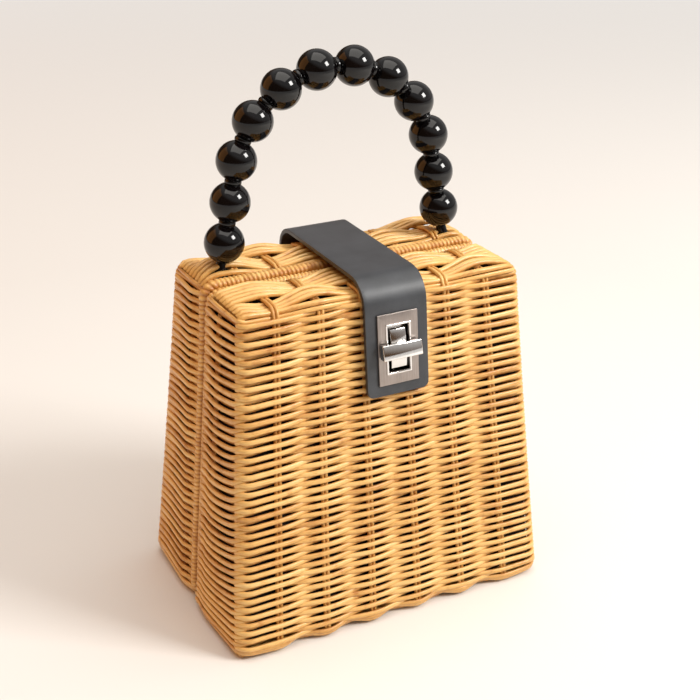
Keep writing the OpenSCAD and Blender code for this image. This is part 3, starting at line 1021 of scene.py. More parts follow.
    def swell(self, x: float, y: float) -> float:
        """How far the top stands proud at a place, most round the handle's feet.

        Args:
            x: The place along the top.
            y: The place from the seam, given for the front half.

        Returns:
            The height.
        """
        back = self.part is Part.BACK
        away = math.hypot(abs(x) - self.foot[0], abs(y) - self.foot[1]) / self.foot_spread
        level = self.swells[back] + self.foot_swells[back] * math.exp(-0.5 * away * away)
        return level * ease(self.swell_at_seam, abs(y)) * ease(self.swell_at_sides, abs(x))

    def cap_rows(self, top: bool) -> list[Strand]:
        """All canes along the top or the base.

        Args:
            top: Whether they are on the top.

        Returns:
            The canes.
        """
        s = self.shape
        edge, z = (s.top_r, s.height) if top else (s.base_r, 0.0)
        flat = s.half_d(z) - edge - s.mouth_y
        arc = s.top_r * (QUARTER - self.edge_turn) if top else 0.0
        count = round((flat + arc) / (self.top_pitch if top else self.pitch))
        return [self.cap_row(m, count, top) for m in range(count)]

    def stake_line(self, j: int, shift: float) -> Strand:
        """One cane of a stake, from the bottom rim up the wide wall and over to the top rim.

        Args:
            j: The stake.
            shift: Distance of the cane from the stake's middle.

        Returns:
            The cane.
        """
        s = self.shape
        deep = self.stake_deep
        profile = [(-s.rim_y, s.hinge_z), (-s.mouth_y - self.stake_ends[0], deep)]
        heel = (s.base_r - s.half_d(s.base_r), s.base_r)
        profile += arc_points(heel, s.base_r - deep, -QUARTER, -2.0 * QUARTER, 4)
        for i in range(1, self.stake_points):
            z = s.base_r + (s.height - s.top_r - s.base_r) * i / self.stake_points
            profile.append((-(s.half_d(z) - deep), z))
        first, second = self.stake_tops[j % 2], self.stake_tops[(j + 1) % 2]
        for i in range(self.stake_turns + 1):
            a = QUARTER * i / self.stake_turns
            r = s.top_r - deep - (first - deep) * ease(self.stake_ease, a)
            z = s.height - s.top_r + r * math.sin(a)
            profile.append((-(s.half_d(z) - s.top_r) - r * math.cos(a), z))
        near, far = (share * (s.half_d(s.height) - s.top_r) for share in self.stake_shares)
        for y, depth in ((near, first), (far, second), (s.mouth_y + self.stake_ends[1], second)):
            profile.append((-y, s.height - depth + self.swell(s.stake_x(j, s.height), -y)))
        profile.append((-s.rim_y, s.height - s.rim_inset))
        points = [self.side(s.stake_x(j, z) + shift, y, z) for y, z in profile]
        return Strand(points, self.stake_r, self.tone())

    def posts(self) -> list[Strand]:
        """The stakes of the side walls and the posts inside the upright corners.

        Returns:
            The canes.
        """
        s = self.shape
        deep = self.stake_deep
        low, high = self.side_stake_ends
        canes = []
        for side in (-1.0, 1.0):
            for shift in (-self.stake_gap, self.stake_gap):
                canes.append(Strand(
                    [self.side(side * (s.half_w(z) - deep), -self.side_stake + shift, z)
                     for z in np.linspace(low, s.height - high, self.post_points)],
                    self.stake_r, self.tone()))
            post = []
            for z in np.linspace(self.post_ends[0], s.height - self.post_ends[1], self.post_points):
                inset = s.corner(z) - (s.corner(z) - deep) * math.sqrt(0.5)
                post.append(self.side(side * (s.half_w(z) - inset), -(s.half_d(z) - inset), z))
            canes.append(Strand(post, self.stake_r, self.tone()))
        return canes

    def press(self, piece: Piece, canes: Sequence[Strand], flat: float, across: int) -> None:
        """Presses canes flat, as soaked cane is beaten down, and darkens them where they touch as painted
        shade between neighbours.

        Args:
            piece: The round canes.
            canes: Their middle lines.
            flat: How much of their thickness is left.
            across: The axis along which neighbours touch: 1 for Y, 2 for Z.
        """
        middle = np.repeat(np.array([p for cane in canes for p in cane.points]), self.sides, axis=0)
        off = read_points(piece) - middle
        reach = np.abs(off[:, across]) / (np.linalg.norm(off, axis=1) + 1e-9)
        tone = np.empty(len(off))
        values = piece.data.attributes["tone"].data
        values.foreach_get("value", tone)
        # painted shade: the tone is lowered where the surface faces a neighbouring cane
        values.foreach_set("value", tone - self.touch_dark * reach ** self.touch_power)
        off[:, 3 - across] *= flat
        if across == 2:
            off[:, 0] *= flat
        piece.data.vertices.foreach_set("co", (middle + off).ravel())
        piece.data.update()

    def build(self, rows: Material, ends: Material, stakes: Material) -> None:
        """Weaves the half.

        Args:
            rows: Finish of the rows.
            ends: Finish of the canes along the top and the base.
            stakes: Finish of the stakes.
        """
        word = self.part.word
        walls = self.wall_rows()
        woven = sweep(f"{word}_rows", walls, self.sides)
        self.press(woven, walls, self.cane_flat, 2)
        caps = self.cap_rows(True) + self.cap_rows(False)
        laid = sweep(f"{word}_top_and_base", caps, self.sides)
        self.press(laid, caps, self.top_flat, 1)
        uprights = [self.stake_line(j, shift) for j in range(self.shape.stakes)
                    for shift in (-self.stake_gap, self.stake_gap)] + self.posts()
        pieces = [
            (woven, rows, [f"{word}_basket"]),
            (laid, ends, []),
            (sweep(f"{word}_stakes", uprights, self.stake_sides, "MINIMUM"), stakes, []),
        ]
        for piece, finish, nodes in pieces:
            close_tips(piece)
            dress(piece, finish, self.part.body, nodes)


@dataclass
class Lining:
    """Black cotton sewn inside the walls and base of one half, with a folded hem."""

    shape: BagShape
    part: Part
    deep: float = 5.75 * MM
    corner_push: float = 1.5 * MM
    drop: float = 8.0 * MM
    clear: float = 2.4 * MM
    side_clear: float = -0.5 * MM
    fold: float = 0.55 * MM
    hem: float = 7.0 * MM
    turn: float = 3.0 * MM
    thick: float = 0.32 * MM
    columns: int = 120
    cut: float = 0.047
    stitch: float = 2.6 * MM
    stitch_r: float = 0.2 * MM
    stitch_up: float = 1.2 * MM
    stitch_line: Knots = ((0.12, 0.1 * MM), (0.25, 0.55 * MM), (0.75, 0.55 * MM), (0.88, 0.1 * MM))
    crease: float = 0.22 * MM
    crease_rates: tuple[Pair, Pair] = ((41.0, 90.0), (17.0, -160.0))
    corner_shares: Pair = (0.3, 0.7)
    floor_shares: tuple[float, ...] = (0.15, 0.35, 0.6, 0.8, 1.0)
    wall_levels: int = 26

    def profile(self) -> list[Pair]:
        """Depths and heights from the hem's edge over its fold and down the wall to the floor.

        Returns:
            The profile's points.
        """
        top, floor = self.shape.height - self.drop, self.deep
        inner = self.deep + self.fold
        line = [(inner, top - self.hem), (inner, top - self.hem * 0.5), (inner, top - self.fold),
                (self.deep + self.fold * 0.5, top), (self.deep, top - self.fold)]
        heights = np.linspace(top - 2.0 * self.hem, floor + self.turn, self.wall_levels)
        line += [(self.deep, z) for z in heights]
        bend = (self.deep + self.turn, floor + self.turn)
        return line + arc_points(bend, self.turn, 2.0 * QUARTER, 3.0 * QUARTER, 4)[1:]

    def in_corner(self, at: float, z: float) -> float:
        """How far the cloth is pushed into an upright corner.

        Args:
            at: Distance along the outside from the right rim.
            z: Height.

        Returns:
            A share from 0 on the walls to 1 in the corner.
        """
        o = self.shape.outline(z)
        near = min(at, o.total - at) - o.run
        first, last = (o.arc * share for share in self.corner_shares)
        return ease([(-MM, 0.0), (first, 1.0), (last, 1.0), (o.arc + MM, 0.0)], near)

    def point(self, share: float, depth: float, z: float, inwards: float) -> Vector:
        """A point of the cloth.

        Args:
            share: Where it is from the right edge to the left, from 0 to 1.
            depth: Distance in from the outside of the weave.
            z: Height.
            inwards: Share of the way over the floor to the open side.

        Returns:
            The point.
        """
        s = self.shape
        start = s.mouth_y + self.side_clear - s.rim_y
        at = start + (s.outline(z).total - 2.0 * start) * share
        spot = s.wall_point(at, depth - self.corner_push * self.in_corner(at, z), z)
        edge = Vector(((s.half_w(z) - depth) * (1.0 - 2.0 * share), -s.mouth_y - self.clear, z))
        spot = spot.lerp(edge, inwards)
        return Vector((spot.x, -spot.y * self.part.value, z))

    def cloth(self, name: str) -> Piece:
        """The cloth with its fold and faint creases.

        Args:
            name: The piece's name.

        Returns:
            The cloth.
        """
        line = self.profile()
        levels = [(d, z, 0.0) for d, z in line] + [(*line[-1], v) for v in self.floor_shares]
        bm = bmesh.new()
        bmesh.ops.create_grid(bm, x_segments=self.columns, y_segments=len(levels) - 1, size=1.0)
        for vert in bm.verts:
            share = (vert.co.x + 1.0) / 2.0
            n = round((vert.co.y + 1.0) / 2.0 * (len(levels) - 1))
            depth, z, inwards = levels[n]
            crease = math.prod(math.sin(share * a + z * b) for a, b in self.crease_rates)
            vert.co = self.point(share, depth + self.crease * (crease + 1.0), z, inwards)
        piece = from_bmesh(name, bm)
        modify(piece, "thickness", "SOLIDIFY", {"thickness": self.thick, "offset": 0.0})
        return bake_modifiers(piece)

    def stitches(self, name: str) -> Piece:
        """The row of stitches that holds the hem.

        Args:
            name: The piece's name.

        Returns:
            The stitches.
        """
        z = self.shape.height - self.drop - self.hem + self.stitch_up
        count = round(self.shape.outline(z).total / self.stitch)
        inner = self.deep + self.fold
        strands = []
        for i in range(1, count - 1):
            line = [self.point((i + share) / count, inner + up, z, 0.0) for share, up in self.stitch_line]
            strands.append(Strand(line, self.stitch_r))
        return sweep(name, strands, 6)

    def build(self, cotton: Material, thread: Material) -> None:
        """Sews the lining in.

        Args:
            cotton: Finish of the cloth.
            thread: Finish of the stitches.
        """
        name, body = self.part.word, self.part.body
        cloth = dress(self.cloth(f"{name}_lining_cloth"), cotton, body, [f"{name}_lining"])
        seam = dress(self.stitches(f"{name}_lining_stitches"), thread, body)


@dataclass
class Rim:
    """Flat cane wound round the hoop of one half."""

    shape: BagShape
    part: Part
    radius: float = 2.85 * MM
    top_radius: float = 3.4 * MM
    aside: float = 0.1 * MM
    lift: float = 0.9 * MM
    wrap: float = 2.3 * MM
    groove: float = 0.55 * MM
    groove_power: int = 5
    # painted shade in the grooves between turns and on the flank that faces the seam
    groove_dark: float = 0.7
    seam_dark: float = 0.9
    seam_turns: Pair = (0.5, 0.8)
    tones: Pair = (0.55, 0.16)
    corner_more: Pair = (4.0 * MM, 2.0 * MM)
    low_ease: Knots = ((10.0 * MM, 0.0), (40.0 * MM, 1.0))
    top_ease: Knots = ((150.0 * MM, 0.0), (170.0 * MM, 1.0))
    sides: int = 12
    rings: int = 6
    seed: int = 21

    def line(self) -> list[Vector]:
        """The hoop's middle line from the middle of the bottom round to the same place.

        Returns:
            The line's points.
        """
        s = self.shape
        low_r = s.base_r - s.rim_inset + self.corner_more[0]
        top_r = s.top_r - s.rim_inset + self.corner_more[1]
        top_z = s.height - s.rim_inset + self.lift
        low_x = s.half_w(s.hinge_z) - s.rim_inset
        tilt = math.atan((low_x - s.half_w(top_z) + s.rim_inset) / (top_z - s.hinge_z))
        low = (low_x - low_r * (1.0 + math.sin(tilt)) / math.cos(tilt), s.hinge_z + low_r)
        rise = (top_z - top_r - s.hinge_z) * math.sin(tilt)
        top = (low_x - (top_r + rise) / math.cos(tilt), top_z - top_r)
        right = [(0.0, s.hinge_z), *arc_points(low, low_r, -QUARTER, tilt, 12),
                 *arc_points(top, top_r, tilt, QUARTER, 12)]
        left = [(-x, z) for x, z in reversed(right)]
        return [Vector((x, s.rim_y * self.part.value, z)) for x, z in right + left]

    def even_line(self, step: float) -> list[Vector]:
        """The line in equal steps.

        Args:
            step: About the length of a step.

        Returns:
            The points.
        """
        line = self.line()
        lengths = lengths_along(line)
        count = round(lengths[-1] / step)
        at = np.linspace(0.0, lengths[-1], count + 1)
        axes = [np.interp(at, lengths, [p[i] for p in line]) for i in range(3)]
        return [Vector(p) for p in zip(*axes)]

    def groove_at(self, i: int) -> float:
        """How deep the groove between two turns is at a ring, from 0 to 1."""
        return abs(math.cos(math.pi * i / self.rings)) ** self.groove_power

    def build(self, material: Material) -> None:
        """Winds the rim.

        Args:
            material: The cane's finish.
        """
        name = self.part.word
        points = self.even_line(self.wrap / self.rings)
        radii = []
        for i, point in enumerate(points):
            grown = (self.top_radius - self.radius) * ease(self.top_ease, point.z)
            point.y += (self.aside * ease(self.low_ease, point.z) + grown) * self.part.value
            radii.append(self.radius + grown - self.groove * self.groove_at(i))
        piece = sweep(f"{name}_rim_winding", [Strand(points, radii)], self.sides, "MINIMUM")
        self.slant(piece, points)
        dress(piece, material, self.part.body, [f"{name}_binding"])

    def slant(self, piece: Piece, points: list[Vector]) -> None:
        """Turns the rings into one winding, gives each turn its own tone, and darkens the grooves between
        turns and the flank facing the seam as painted shade.

        Args:
            piece: The ringed tube.
            points: Its middle line.
        """
        rng = random.Random(self.seed + self.part.value)
        line = np.array(points)
        tangent = np.gradient(line, axis=0)
        tangent /= np.linalg.norm(tangent, axis=1, keepdims=True)
        tangent = np.repeat(tangent, self.sides, axis=0)
        outward = np.stack([tangent[:, 2], np.zeros(len(tangent)), -tangent[:, 0]], axis=1)
        co = read_points(piece)
        off = co - np.repeat(line, self.sides, axis=0)
        turn = np.arctan2(off[:, 1] * self.part.value, (off * outward).sum(axis=1))
        co += tangent * (self.wrap * turn / (2.0 * math.pi))[:, None]
        piece.data.vertices.foreach_set("co", co.ravel())
        turns = [min(1.0, max(0.0, rng.gauss(*self.tones))) for _ in range(len(points) // self.rings + 2)]
        # painted shade: each ring darkens with the depth of the groove between turns
        rings = [turns[i // self.rings] - self.groove_dark * self.groove_at(i) for i in range(len(points))]
        # painted shade: the flank that turns in towards the seam darkens, standing in for the dark crevice
        # between the two rims
        seam_shade_mask = np.clip((-turn - self.seam_turns[0]) / self.seam_turns[1], 0.0, 1.0)
        tones = np.repeat(rings, self.sides) - self.seam_dark * seam_shade_mask
        piece.data.attributes["tone"].data.foreach_set("value", tones)
        piece.data.update()


@dataclass
class HingeTies:
    """Turns of cane round both bottom rims, on which the front half swings."""

    shape: BagShape
    span: float = 96.0 * MM
    width: float = 7.0 * MM
    turns: int = 4
    radius: float = 3.35 * MM
    cane_r: float = 0.45 * MM
    tones: Pair = (0.4, 0.1)
    sides: int = 8

    def build(self, material: Material) -> None:
        """Ties both lashings.

        Args:
            material: The cane's finish.
        """
        for side, name in SIDES:
            strands = []
            for i in range(self.turns):
                x = side * self.span / 2.0 + self.width * ((i + 0.5) / self.turns - 0.5)
                strands.append(self.loop(x, self.tones[0] + self.tones[1] * i))
            piece = sweep(f"hinge_lashing_{name}", strands, self.sides, "MINIMUM")
            dress(piece, material, "back_half", [f"hinge_tie_{name}"])

    def loop(self, x: float, tone: float) -> Strand:
        """One turn round both rims.

        Args:
            x: Its place along the rims.
            tone: Its tone.

        Returns:
            The cane.
        """
        ring = arc_points((0.0, self.shape.hinge_z), self.radius, 0.0, 4.0 * QUARTER, 32)
        points = [Vector((x, y + math.copysign(self.shape.rim_y, y), z)) for y, z in ring]
        return Strand(points, [self.cane_r] * len(points), tone)


@dataclass
class Handle:
    """Arch of round beads over the back half."""

    shape: BagShape
    beads: int = 12
    bead_r: float = 10.0 * MM
    pitch: float = 20.4 * MM
    arch_r: float = 55.0 * MM
    arch_rise: float = 40.6 * MM
    foot_x: float = 63.5 * MM
    y: float = 12.0 * MM
    bore_r: float = 2.65 * MM
    bore_taper: Triple = (0.86, 0.86, 0.9)
    bead_segments: tuple[int, int] = (48, 32)
    turned_steps: int = 32
    bead_merge: float = 0.002 * MM
    spacer: Pair = (4.2 * MM, 1.3 * MM)
    foot_base: Knots = (
        (1.7 * MM, 0.3 * MM), (3.1 * MM, 0.3 * MM), (3.5 * MM, 0.7 * MM),
        (3.5 * MM, 1.2 * MM), (3.1 * MM, 1.7 * MM), (2.85 * MM, 2.4 * MM))
    foot_top: Knots = ((2.5 * MM, -0.3 * MM), (2.35 * MM, 0.0), (1.7 * MM, 0.0))
    foot_sunk: float = 0.25 * MM

    @property
    def leg(self) -> float:
        """Distance from a foot to the middle of the arch."""
        return math.hypot(self.foot_x, self.arch_rise)

    @property
    def tilt(self) -> float:
        """How far the straight ends lean outwards, in radians."""
        return math.acos(self.arch_r / self.leg) - math.atan2(self.arch_rise, self.foot_x)

    def place(self, s: float) -> Matrix:
        """A place on the handle's middle line.

        Args:
            s: Distance along it from the top of the arch.

        Returns:
            A frame with Z along the line.
        """
        tilt = self.tilt
        arc = self.arch_r * (QUARTER - tilt)
        a = math.copysign(min(abs(s), arc) / self.arch_r, s)
        past = max(abs(s) - arc, 0.0)
        x = self.arch_r * math.sin(a) + math.copysign(past * math.sin(tilt), s)
        z = self.shape.height + self.arch_rise + self.arch_r * math.cos(a) - past * math.cos(tilt)
        return Matrix.Translation((x, self.y, z)) @ Matrix.Rotation(QUARTER + a, 4, "Y")

    def bead(self, number: int) -> Piece:
        """A drilled bead with a rounded bore.

        Args:
            number: Its number from the left.

        Returns:
            The bead.
        """
        bm = bmesh.new()
        around, along = self.bead_segments
        bmesh.ops.create_uvsphere(bm, u_segments=around, v_segments=along, radius=self.bead_r)
        level = math.sqrt(self.bead_r ** 2 - self.bore_r ** 2)
        for sign in (-1.0, 1.0):
            geometry = bm.verts[:] + bm.edges[:] + bm.faces[:]
            bmesh.ops.bisect_plane(bm, geom=geometry, plane_co=(0.0, 0.0, sign * level),
                                   plane_no=(0.0, 0.0, sign), clear_outer=True)
        rim = [e for e in bm.edges if e.is_boundary]
        bore = bmesh.ops.extrude_edge_only(bm, edges=rim)
        bmesh.ops.scale(bm, vec=self.bore_taper, verts=new_verts(bore))
        edges = [e for e in bm.edges if e.is_boundary]
        deeper = bmesh.ops.extrude_edge_only(bm, edges=edges)
        bmesh.ops.scale(bm, vec=(1.0, 1.0, 0.0), verts=new_verts(deeper))
        bmesh.ops.remove_doubles(bm, verts=bm.verts, dist=self.bead_merge)
        s = (number - (self.beads + 1) / 2.0) * self.pitch
        return from_bmesh(f"handle_bead_{number:02d}", bm, self.place(s))

    def turned(self, name: str, profile: Sequence[Pair], places: Sequence[Matrix]) -> Piece:
        """Makes equal turned pieces.

        Args:
            name: The object's name.
            profile: Radii and heights round a closed section.
            places: Where each piece goes.

        Returns:
            The pieces as one object.
        """
        bm = bmesh.new()
        for place in places:
            verts = [bm.verts.new((r, 0.0, z)) for r, z in profile]
            edges = [bm.edges.new((a, b)) for a, b in zip(verts, verts[1:] + verts[:1])]
            bmesh.ops.spin(bm, geom=verts + edges, cent=(0.0, 0.0, 0.0), axis=(0.0, 0.0, 1.0),
                           angle=2.0 * math.pi, steps=self.turned_steps, use_merge=True)
            ring = {v for f in bm.faces for v in f.verts if not v.tag}
            bmesh.ops.transform(bm, matrix=place, verts=list(ring))
            for vert in ring:
                vert.tag = True
        return from_bmesh(name, bm)

    def spacers(self) -> Piece:
        """The rounded rings between the beads.

        Returns:
            The rings as one object.
        """
        r, h = self.spacer
        upper = [(r, h * 0.35), (r * 0.95, h * 0.8), (r * 0.8, h), (self.bore_r, h * 0.5)]
        profile = [(x, -z) for x, z in reversed(upper)] + upper
        steps = [i - self.beads / 2.0 + 1.0 for i in range(self.beads - 1)]
        return self.turned("handle_spacers", profile, [self.place(v * self.pitch) for v in steps])

    def foot(self, side: float, name: str) -> Piece:
        """One tapered foot with a rolled collar on the weave.

        Args:
            side: -1 for the left one and 1 for the right one.
            name: Left or right.

        Returns:
            The foot.
        """
        last = (self.beads - 1) / 2.0 * self.pitch
        along = self.arch_r * (QUARTER - self.tilt) + math.sqrt(self.leg ** 2 - self.arch_r ** 2)
        high = along - last - self.bead_r + self.foot_sunk
        profile = [*self.foot_base, *((r, high + z) for r, z in self.foot_top)]
        place = Matrix.Translation((side * self.foot_x, self.y, self.shape.height))
        turn = Matrix.Rotation(-side * self.tilt, 4, "Y")
        return self.turned(f"handle_foot_{name}", profile, [place @ turn])

    def build(self, material: Material) -> None:
        """Strings the beads.

        Args:
            material: Their finish.
        """
        for number in range(1, self.beads + 1):
            dress(self.bead(number), material, "back_half", [f"bead_{number:02d}"])
        dress(self.spacers(), material, "back_half", ["bead_spacers"])
        for side, name in SIDES:
            dress(self.foot(side, name), material, "back_half", [f"handle_ferrule_{name}"])


@dataclass
class Strap:
    """Leather strap from the back wall over the top to the lock."""

    shape: BagShape
    width: float = 34.0 * MM
    thick: float = 2.2 * MM
    clear: float = 1.2 * MM
    front_r: float = 12.8 * MM
    back_r: float = 9.8 * MM
    front_drop: float = 8.0 * MM
    back_drop: float = 5.5 * MM
    back_in: float = 4.2 * MM
    front_z: float = 125.5 * MM
    back_z: float = 112.0 * MM
    touch_z: float = 144.0 * MM
    corner_r: float = 3.4 * MM
    window: Pair = (18.2 * MM, 28.2 * MM)
    step: float = 2.4 * MM
    lanes: Triple = (5.0 * MM, 13.0 * MM, 15.0 * MM)
    edge_round: float = 0.55 * MM
    edge_angle: float = math.radians(50.0)
    end_steps: int = 5
    mark_clear: float = 0.45
    near: float = 0.1 * MM

    def line(self) -> list[Pair]:
        """The strap's middle line from its back end to its front end, as y and z.

        Returns:
            The line's points.
        """
        s, off = self.shape, self.thick / 2.0
        lean = s.lean
        bend_z = s.height - self.front_drop
        fy = -s.half_d(bend_z) + (self.front_r - self.clear) * math.cos(lean)
        fz = bend_z - (self.front_r - self.clear) * math.sin(lean)
        by, bz = s.half_d(s.height) - self.back_in, s.height - self.back_drop
        back = (self.clear + off) / math.cos(lean)
        points = [(s.half_d(z) + back, z) for z in (self.back_z, self.touch_z)]
        points += arc_points((by, bz), self.back_r + off, 0.0, QUARTER, 12)
        points += arc_points((fy, fz), self.front_r + off, QUARTER, 2.0 * QUARTER - lean, 12)
        y, z = points[-1]
        points.append((y - (z - self.front_z) * math.tan(lean), self.front_z))
        return points

    def stations(self, total: float, marks: Sequence[float]) -> list[float]:
        """Distances along the strap for its cross lines.

        Args:
            total: The strap's length.
            marks: Distances that must be among them.

        Returns:
            The distances in order.
        """
        turns = [QUARTER * i / self.end_steps for i in range(self.end_steps + 1)]
        ends = [self.corner_r * (1.0 - math.cos(a)) for a in turns]
        inner = list(np.linspace(self.corner_r, total - self.corner_r, round(total / self.step)))
        inner = [v for v in inner if all(abs(v - m) > self.step * self.mark_clear for m in marks)]
        return sorted({round(v, 7) for v in ends + inner + list(marks) + [total - e for e in ends]})

    def bent_sheet(self) -> bmesh.types.BMesh:
        """The strap's middle sheet with rounded ends and the window for the lock.

        Returns:
            The sheet.
        """
        s = self.shape
        line = self.line()
        lengths = lengths_along(line)
        total = lengths[-1]
        lock = total - (s.lock_z - self.front_z) / math.cos(s.lean)
        low, high = lock - self.window[1] / 2.0, lock + self.window[1] / 2.0
        along = self.stations(total, (low, high))
        half, gate = self.width / 2.0, self.window[0] / 2.0
        inner, outer, hem = self.lanes
        right = [inner, gate, outer, hem, half]
        across = [*(-x for x in reversed(right)), 0.0, *right]
        bm = bmesh.new()
        bmesh.ops.create_grid(bm, x_segments=len(across) - 1, y_segments=len(along) - 1, size=1.0)
        inside = set()
        for vert in bm.verts:
            x = across[round((vert.co.x + 1.0) / 2.0 * (len(across) - 1))]
            at = along[round((vert.co.y + 1.0) / 2.0 * (len(along) - 1))]
            cut = max(0.0, self.corner_r - min(at, total - at))
            limit = half - self.corner_r + math.sqrt(max(0.0, self.corner_r ** 2 - cut ** 2))
            y, z = (np.interp(at, lengths, [p[i] for p in line]) for i in range(2))
            vert.co = (s.strap_x + x * limit / half, y, z)
            if low - self.near <= at <= high + self.near and abs(x) <= gate + self.near:
                inside.add(vert)
        hole = [f for f in bm.faces if inside.issuperset(f.verts)]
        bmesh.ops.delete(bm, geom=hole, context="FACES")
        return bm

    def build(self, face: Material, edge: Material) -> None:
        """Cuts and bends the strap, and rounds its edges.

        Args:
            face: Finish of its faces.
            edge: Finish of its painted edge.
        """
        piece = from_bmesh("leather_strap", self.bent_sheet())
        piece.data.materials.append(face)
        piece.data.materials.append(edge)
        modify(piece, "thickness", "SOLIDIFY", {
            "thickness": self.thick, "offset": 0.0, "use_even_offset": True, "material_offset_rim": 1})
        modify(piece, "edge", "BEVEL", {"width": self.edge_round, "segments": 3, "limit_method": "ANGLE",
                                        "angle_limit": self.edge_angle})
        bake_modifiers(piece)
        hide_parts("strap")
        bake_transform(piece)
        LOG.info("%s: %d faces, bends at the strap's lift", piece.name, len(piece.data.polygons))


@dataclass
class TurnLock:
    """Slotted plate on the strap, and the boss and cross bar on the front wall."""

    shape: BagShape
    plate: Triple = (22.0 * MM, 36.0 * MM, 1.1 * MM)
    plate_in: float = 3.5 * MM
    slot: Pair = (11.8 * MM, 23.6 * MM)
    lip: Pair = (1.0 * MM, 0.6 * MM)
    boss: Triple = (8.6 * MM, 19.6 * MM, 5.1 * MM)
    base: Triple = (17.0 * MM, 27.0 * MM, 0.8 * MM)
    seat: float = 0.3 * MM
    bar: Triple = (21.4 * MM, 7.4 * MM, 4.2 * MM)
    bar_in: float = 5.6 * MM
    bar_crown: Pair = (math.radians(2.0), math.radians(19.0))
    boss_crown: Pair = (math.radians(-8.0), math.radians(13.0))
    crown_cuts: int = 9
    spindle_r: float = 1.5 * MM
    spindle_sides: int = 32
    plate_corner: float = 0.4 * MM
    plate_round: float = 0.22 * MM
    lip_root: float = 0.3 * MM
    lip_round: float = 0.35 * MM
    boss_round: float = 0.6 * MM
    bar_round: float = 0.4 * MM
    edge_angle: float = math.radians(40.0)

    def slotted_plate(self) -> Piece:
        """The plate with its lipped slot.

        Returns:
            The plate.
        """
        w, h, t = self.plate
        face = self.plate_in + t
        bm = bmesh.new()
        self.ring(bm, (w, h), self.slot, self.plate_in, face)
        corners = [e for e in bm.edges if abs(e.verts[0].co.z - e.verts[1].co.z) > 0.9 * t
                   and abs(e.verts[0].co.x) > w * 0.49 and abs(e.verts[0].co.y) > h * 0.49]
        bmesh.ops.bevel(bm, geom=corners, offset=self.plate_corner, offset_type="OFFSET", segments=4,
                        profile=0.5, affect="EDGES", material=-1)
        return self.fitted("lock_slotted_plate", bm, self.plate_round)

    def slot_lip(self) -> Piece:
        """The rolled lip round the plate's slot.

        Returns:
            The lip.
        """
        wide, tall = self.slot
        face = self.plate_in + self.plate[2]
        bm = bmesh.new()
        self.ring(bm, (wide + 2.0 * self.lip[0], tall + 2.0 * self.lip[0]), self.slot,
                  face - self.lip_root, face + self.lip[1])
        return self.fitted("lock_slot_lip", bm, self.lip_round)

    def ring(self, bm: bmesh.types.BMesh, outer: Pair, inner: Pair, low: float, high: float) -> None:
        """Adds a rectangular plate with a rectangular hole to a shape.

        Args:
            bm: The shape.
            outer: Width and height of the plate.
            inner: Width and height of the hole.
            low: Its inner level.
            high: Its outer level.
        """
        verts = bmesh.ops.create_grid(bm, x_segments=3, y_segments=3, size=1.5)["verts"]
        xs, ys = ([-o / 2.0, -i / 2.0, i / 2.0, o / 2.0] for o, i in zip(outer, inner))
        for vert in verts:
            vert.co = (xs[round(vert.co.x + 1.5)], ys[round(vert.co.y + 1.5)], low)
        faces = {f for v in verts for f in v.link_faces}
        hole = min(faces, key=lambda f: f.calc_center_median().xy.length)
        bmesh.ops.delete(bm, geom=[hole], context="FACES_ONLY")
        faces.discard(hole)
        raised = bmesh.ops.extrude_face_region(bm, geom=list(faces))
        bmesh.ops.translate(bm, vec=(0.0, 0.0, high - low), verts=new_verts(raised))

    def block(self, bm: bmesh.types.BMesh, size: Pair, low: float, high: float,
              crown: Pair = (0.0, 0.0)) -> None:
        """Adds a block to a shape.

        Args:
            bm: The shape.
            size: Width and height of the block.
            low: Its inner level.
            high: Its outer level.
            crown: How far its face leans at the lower and the upper edge, in radians.
        """
        place = Matrix.Translation((0.0, 0.0, (low + high) / 2.0)) @ Matrix.Diagonal((*size, high - low, 1.0))
        verts = bmesh.ops.create_cube(bm, size=1.0, matrix=place)["verts"]
        if crown == (0.0, 0.0):
            return
        upright = {e for v in verts for e in v.link_edges
                   if abs(e.verts[0].co.y - e.verts[1].co.y) > 0.5 * size[1]}
        bmesh.ops.subdivide_edges(bm, edges=list(upright), cuts=self.crown_cuts)
        for vert in [v for v in bm.verts if abs(v.co.z - high) < 0.01 * MM]:
            share = vert.co.y / size[1] + 0.5
            lean = crown[0] * share + (crown[1] - crown[0]) * share * share / 2.0
            vert.co.z -= size[1] * (lean - min(0.0, crown[0]) * 0.1)

    def lock_boss(self) -> Piece:
        """The base on the wall with the boss in the slot.

        Returns:
            The base and boss.
        """
        bm = bmesh.new()
        self.block(bm, self.base[:2], self.seat, self.seat + self.base[2])
        self.block(bm, self.boss[:2], self.seat + self.base[2] * 0.5, self.boss[2], self.boss_crown)
        return self.fitted("lock_boss", bm, self.boss_round)

    def cross_bar(self) -> Piece:
        """The bar and its spindle.

        Returns:
            The bar.
        """
        bm = bmesh.new()
        self.block(bm, self.bar[:2], self.bar_in, self.bar_in + self.bar[2], self.bar_crown)
        depth = self.bar_in - self.seat
        place = Matrix.Translation((0.0, 0.0, self.seat + depth / 2.0))
        bmesh.ops.create_cone(bm, cap_ends=True, segments=self.spindle_sides, radius1=self.spindle_r,
                              radius2=self.spindle_r, depth=depth, matrix=place)
        return self.fitted("lock_cross_bar", bm, self.bar_round)

    def fitted(self, name: str, bm: bmesh.types.BMesh, width: float) -> Piece:
        """Puts a shape on the front wall and rounds its edges.

        Args:
            name: The piece's name.
            bm: The shape.
            width: The rounding's width.

        Returns:
            The piece.
        """
        piece = from_bmesh(name, bm, self.shape.front_place(self.shape.lock_z))
        modify(piece, "edge", "BEVEL", {"width": width, "segments": 3, "limit_method": "ANGLE",
                                        "angle_limit": self.edge_angle, "harden_normals": False})
        return bake_modifiers(piece)

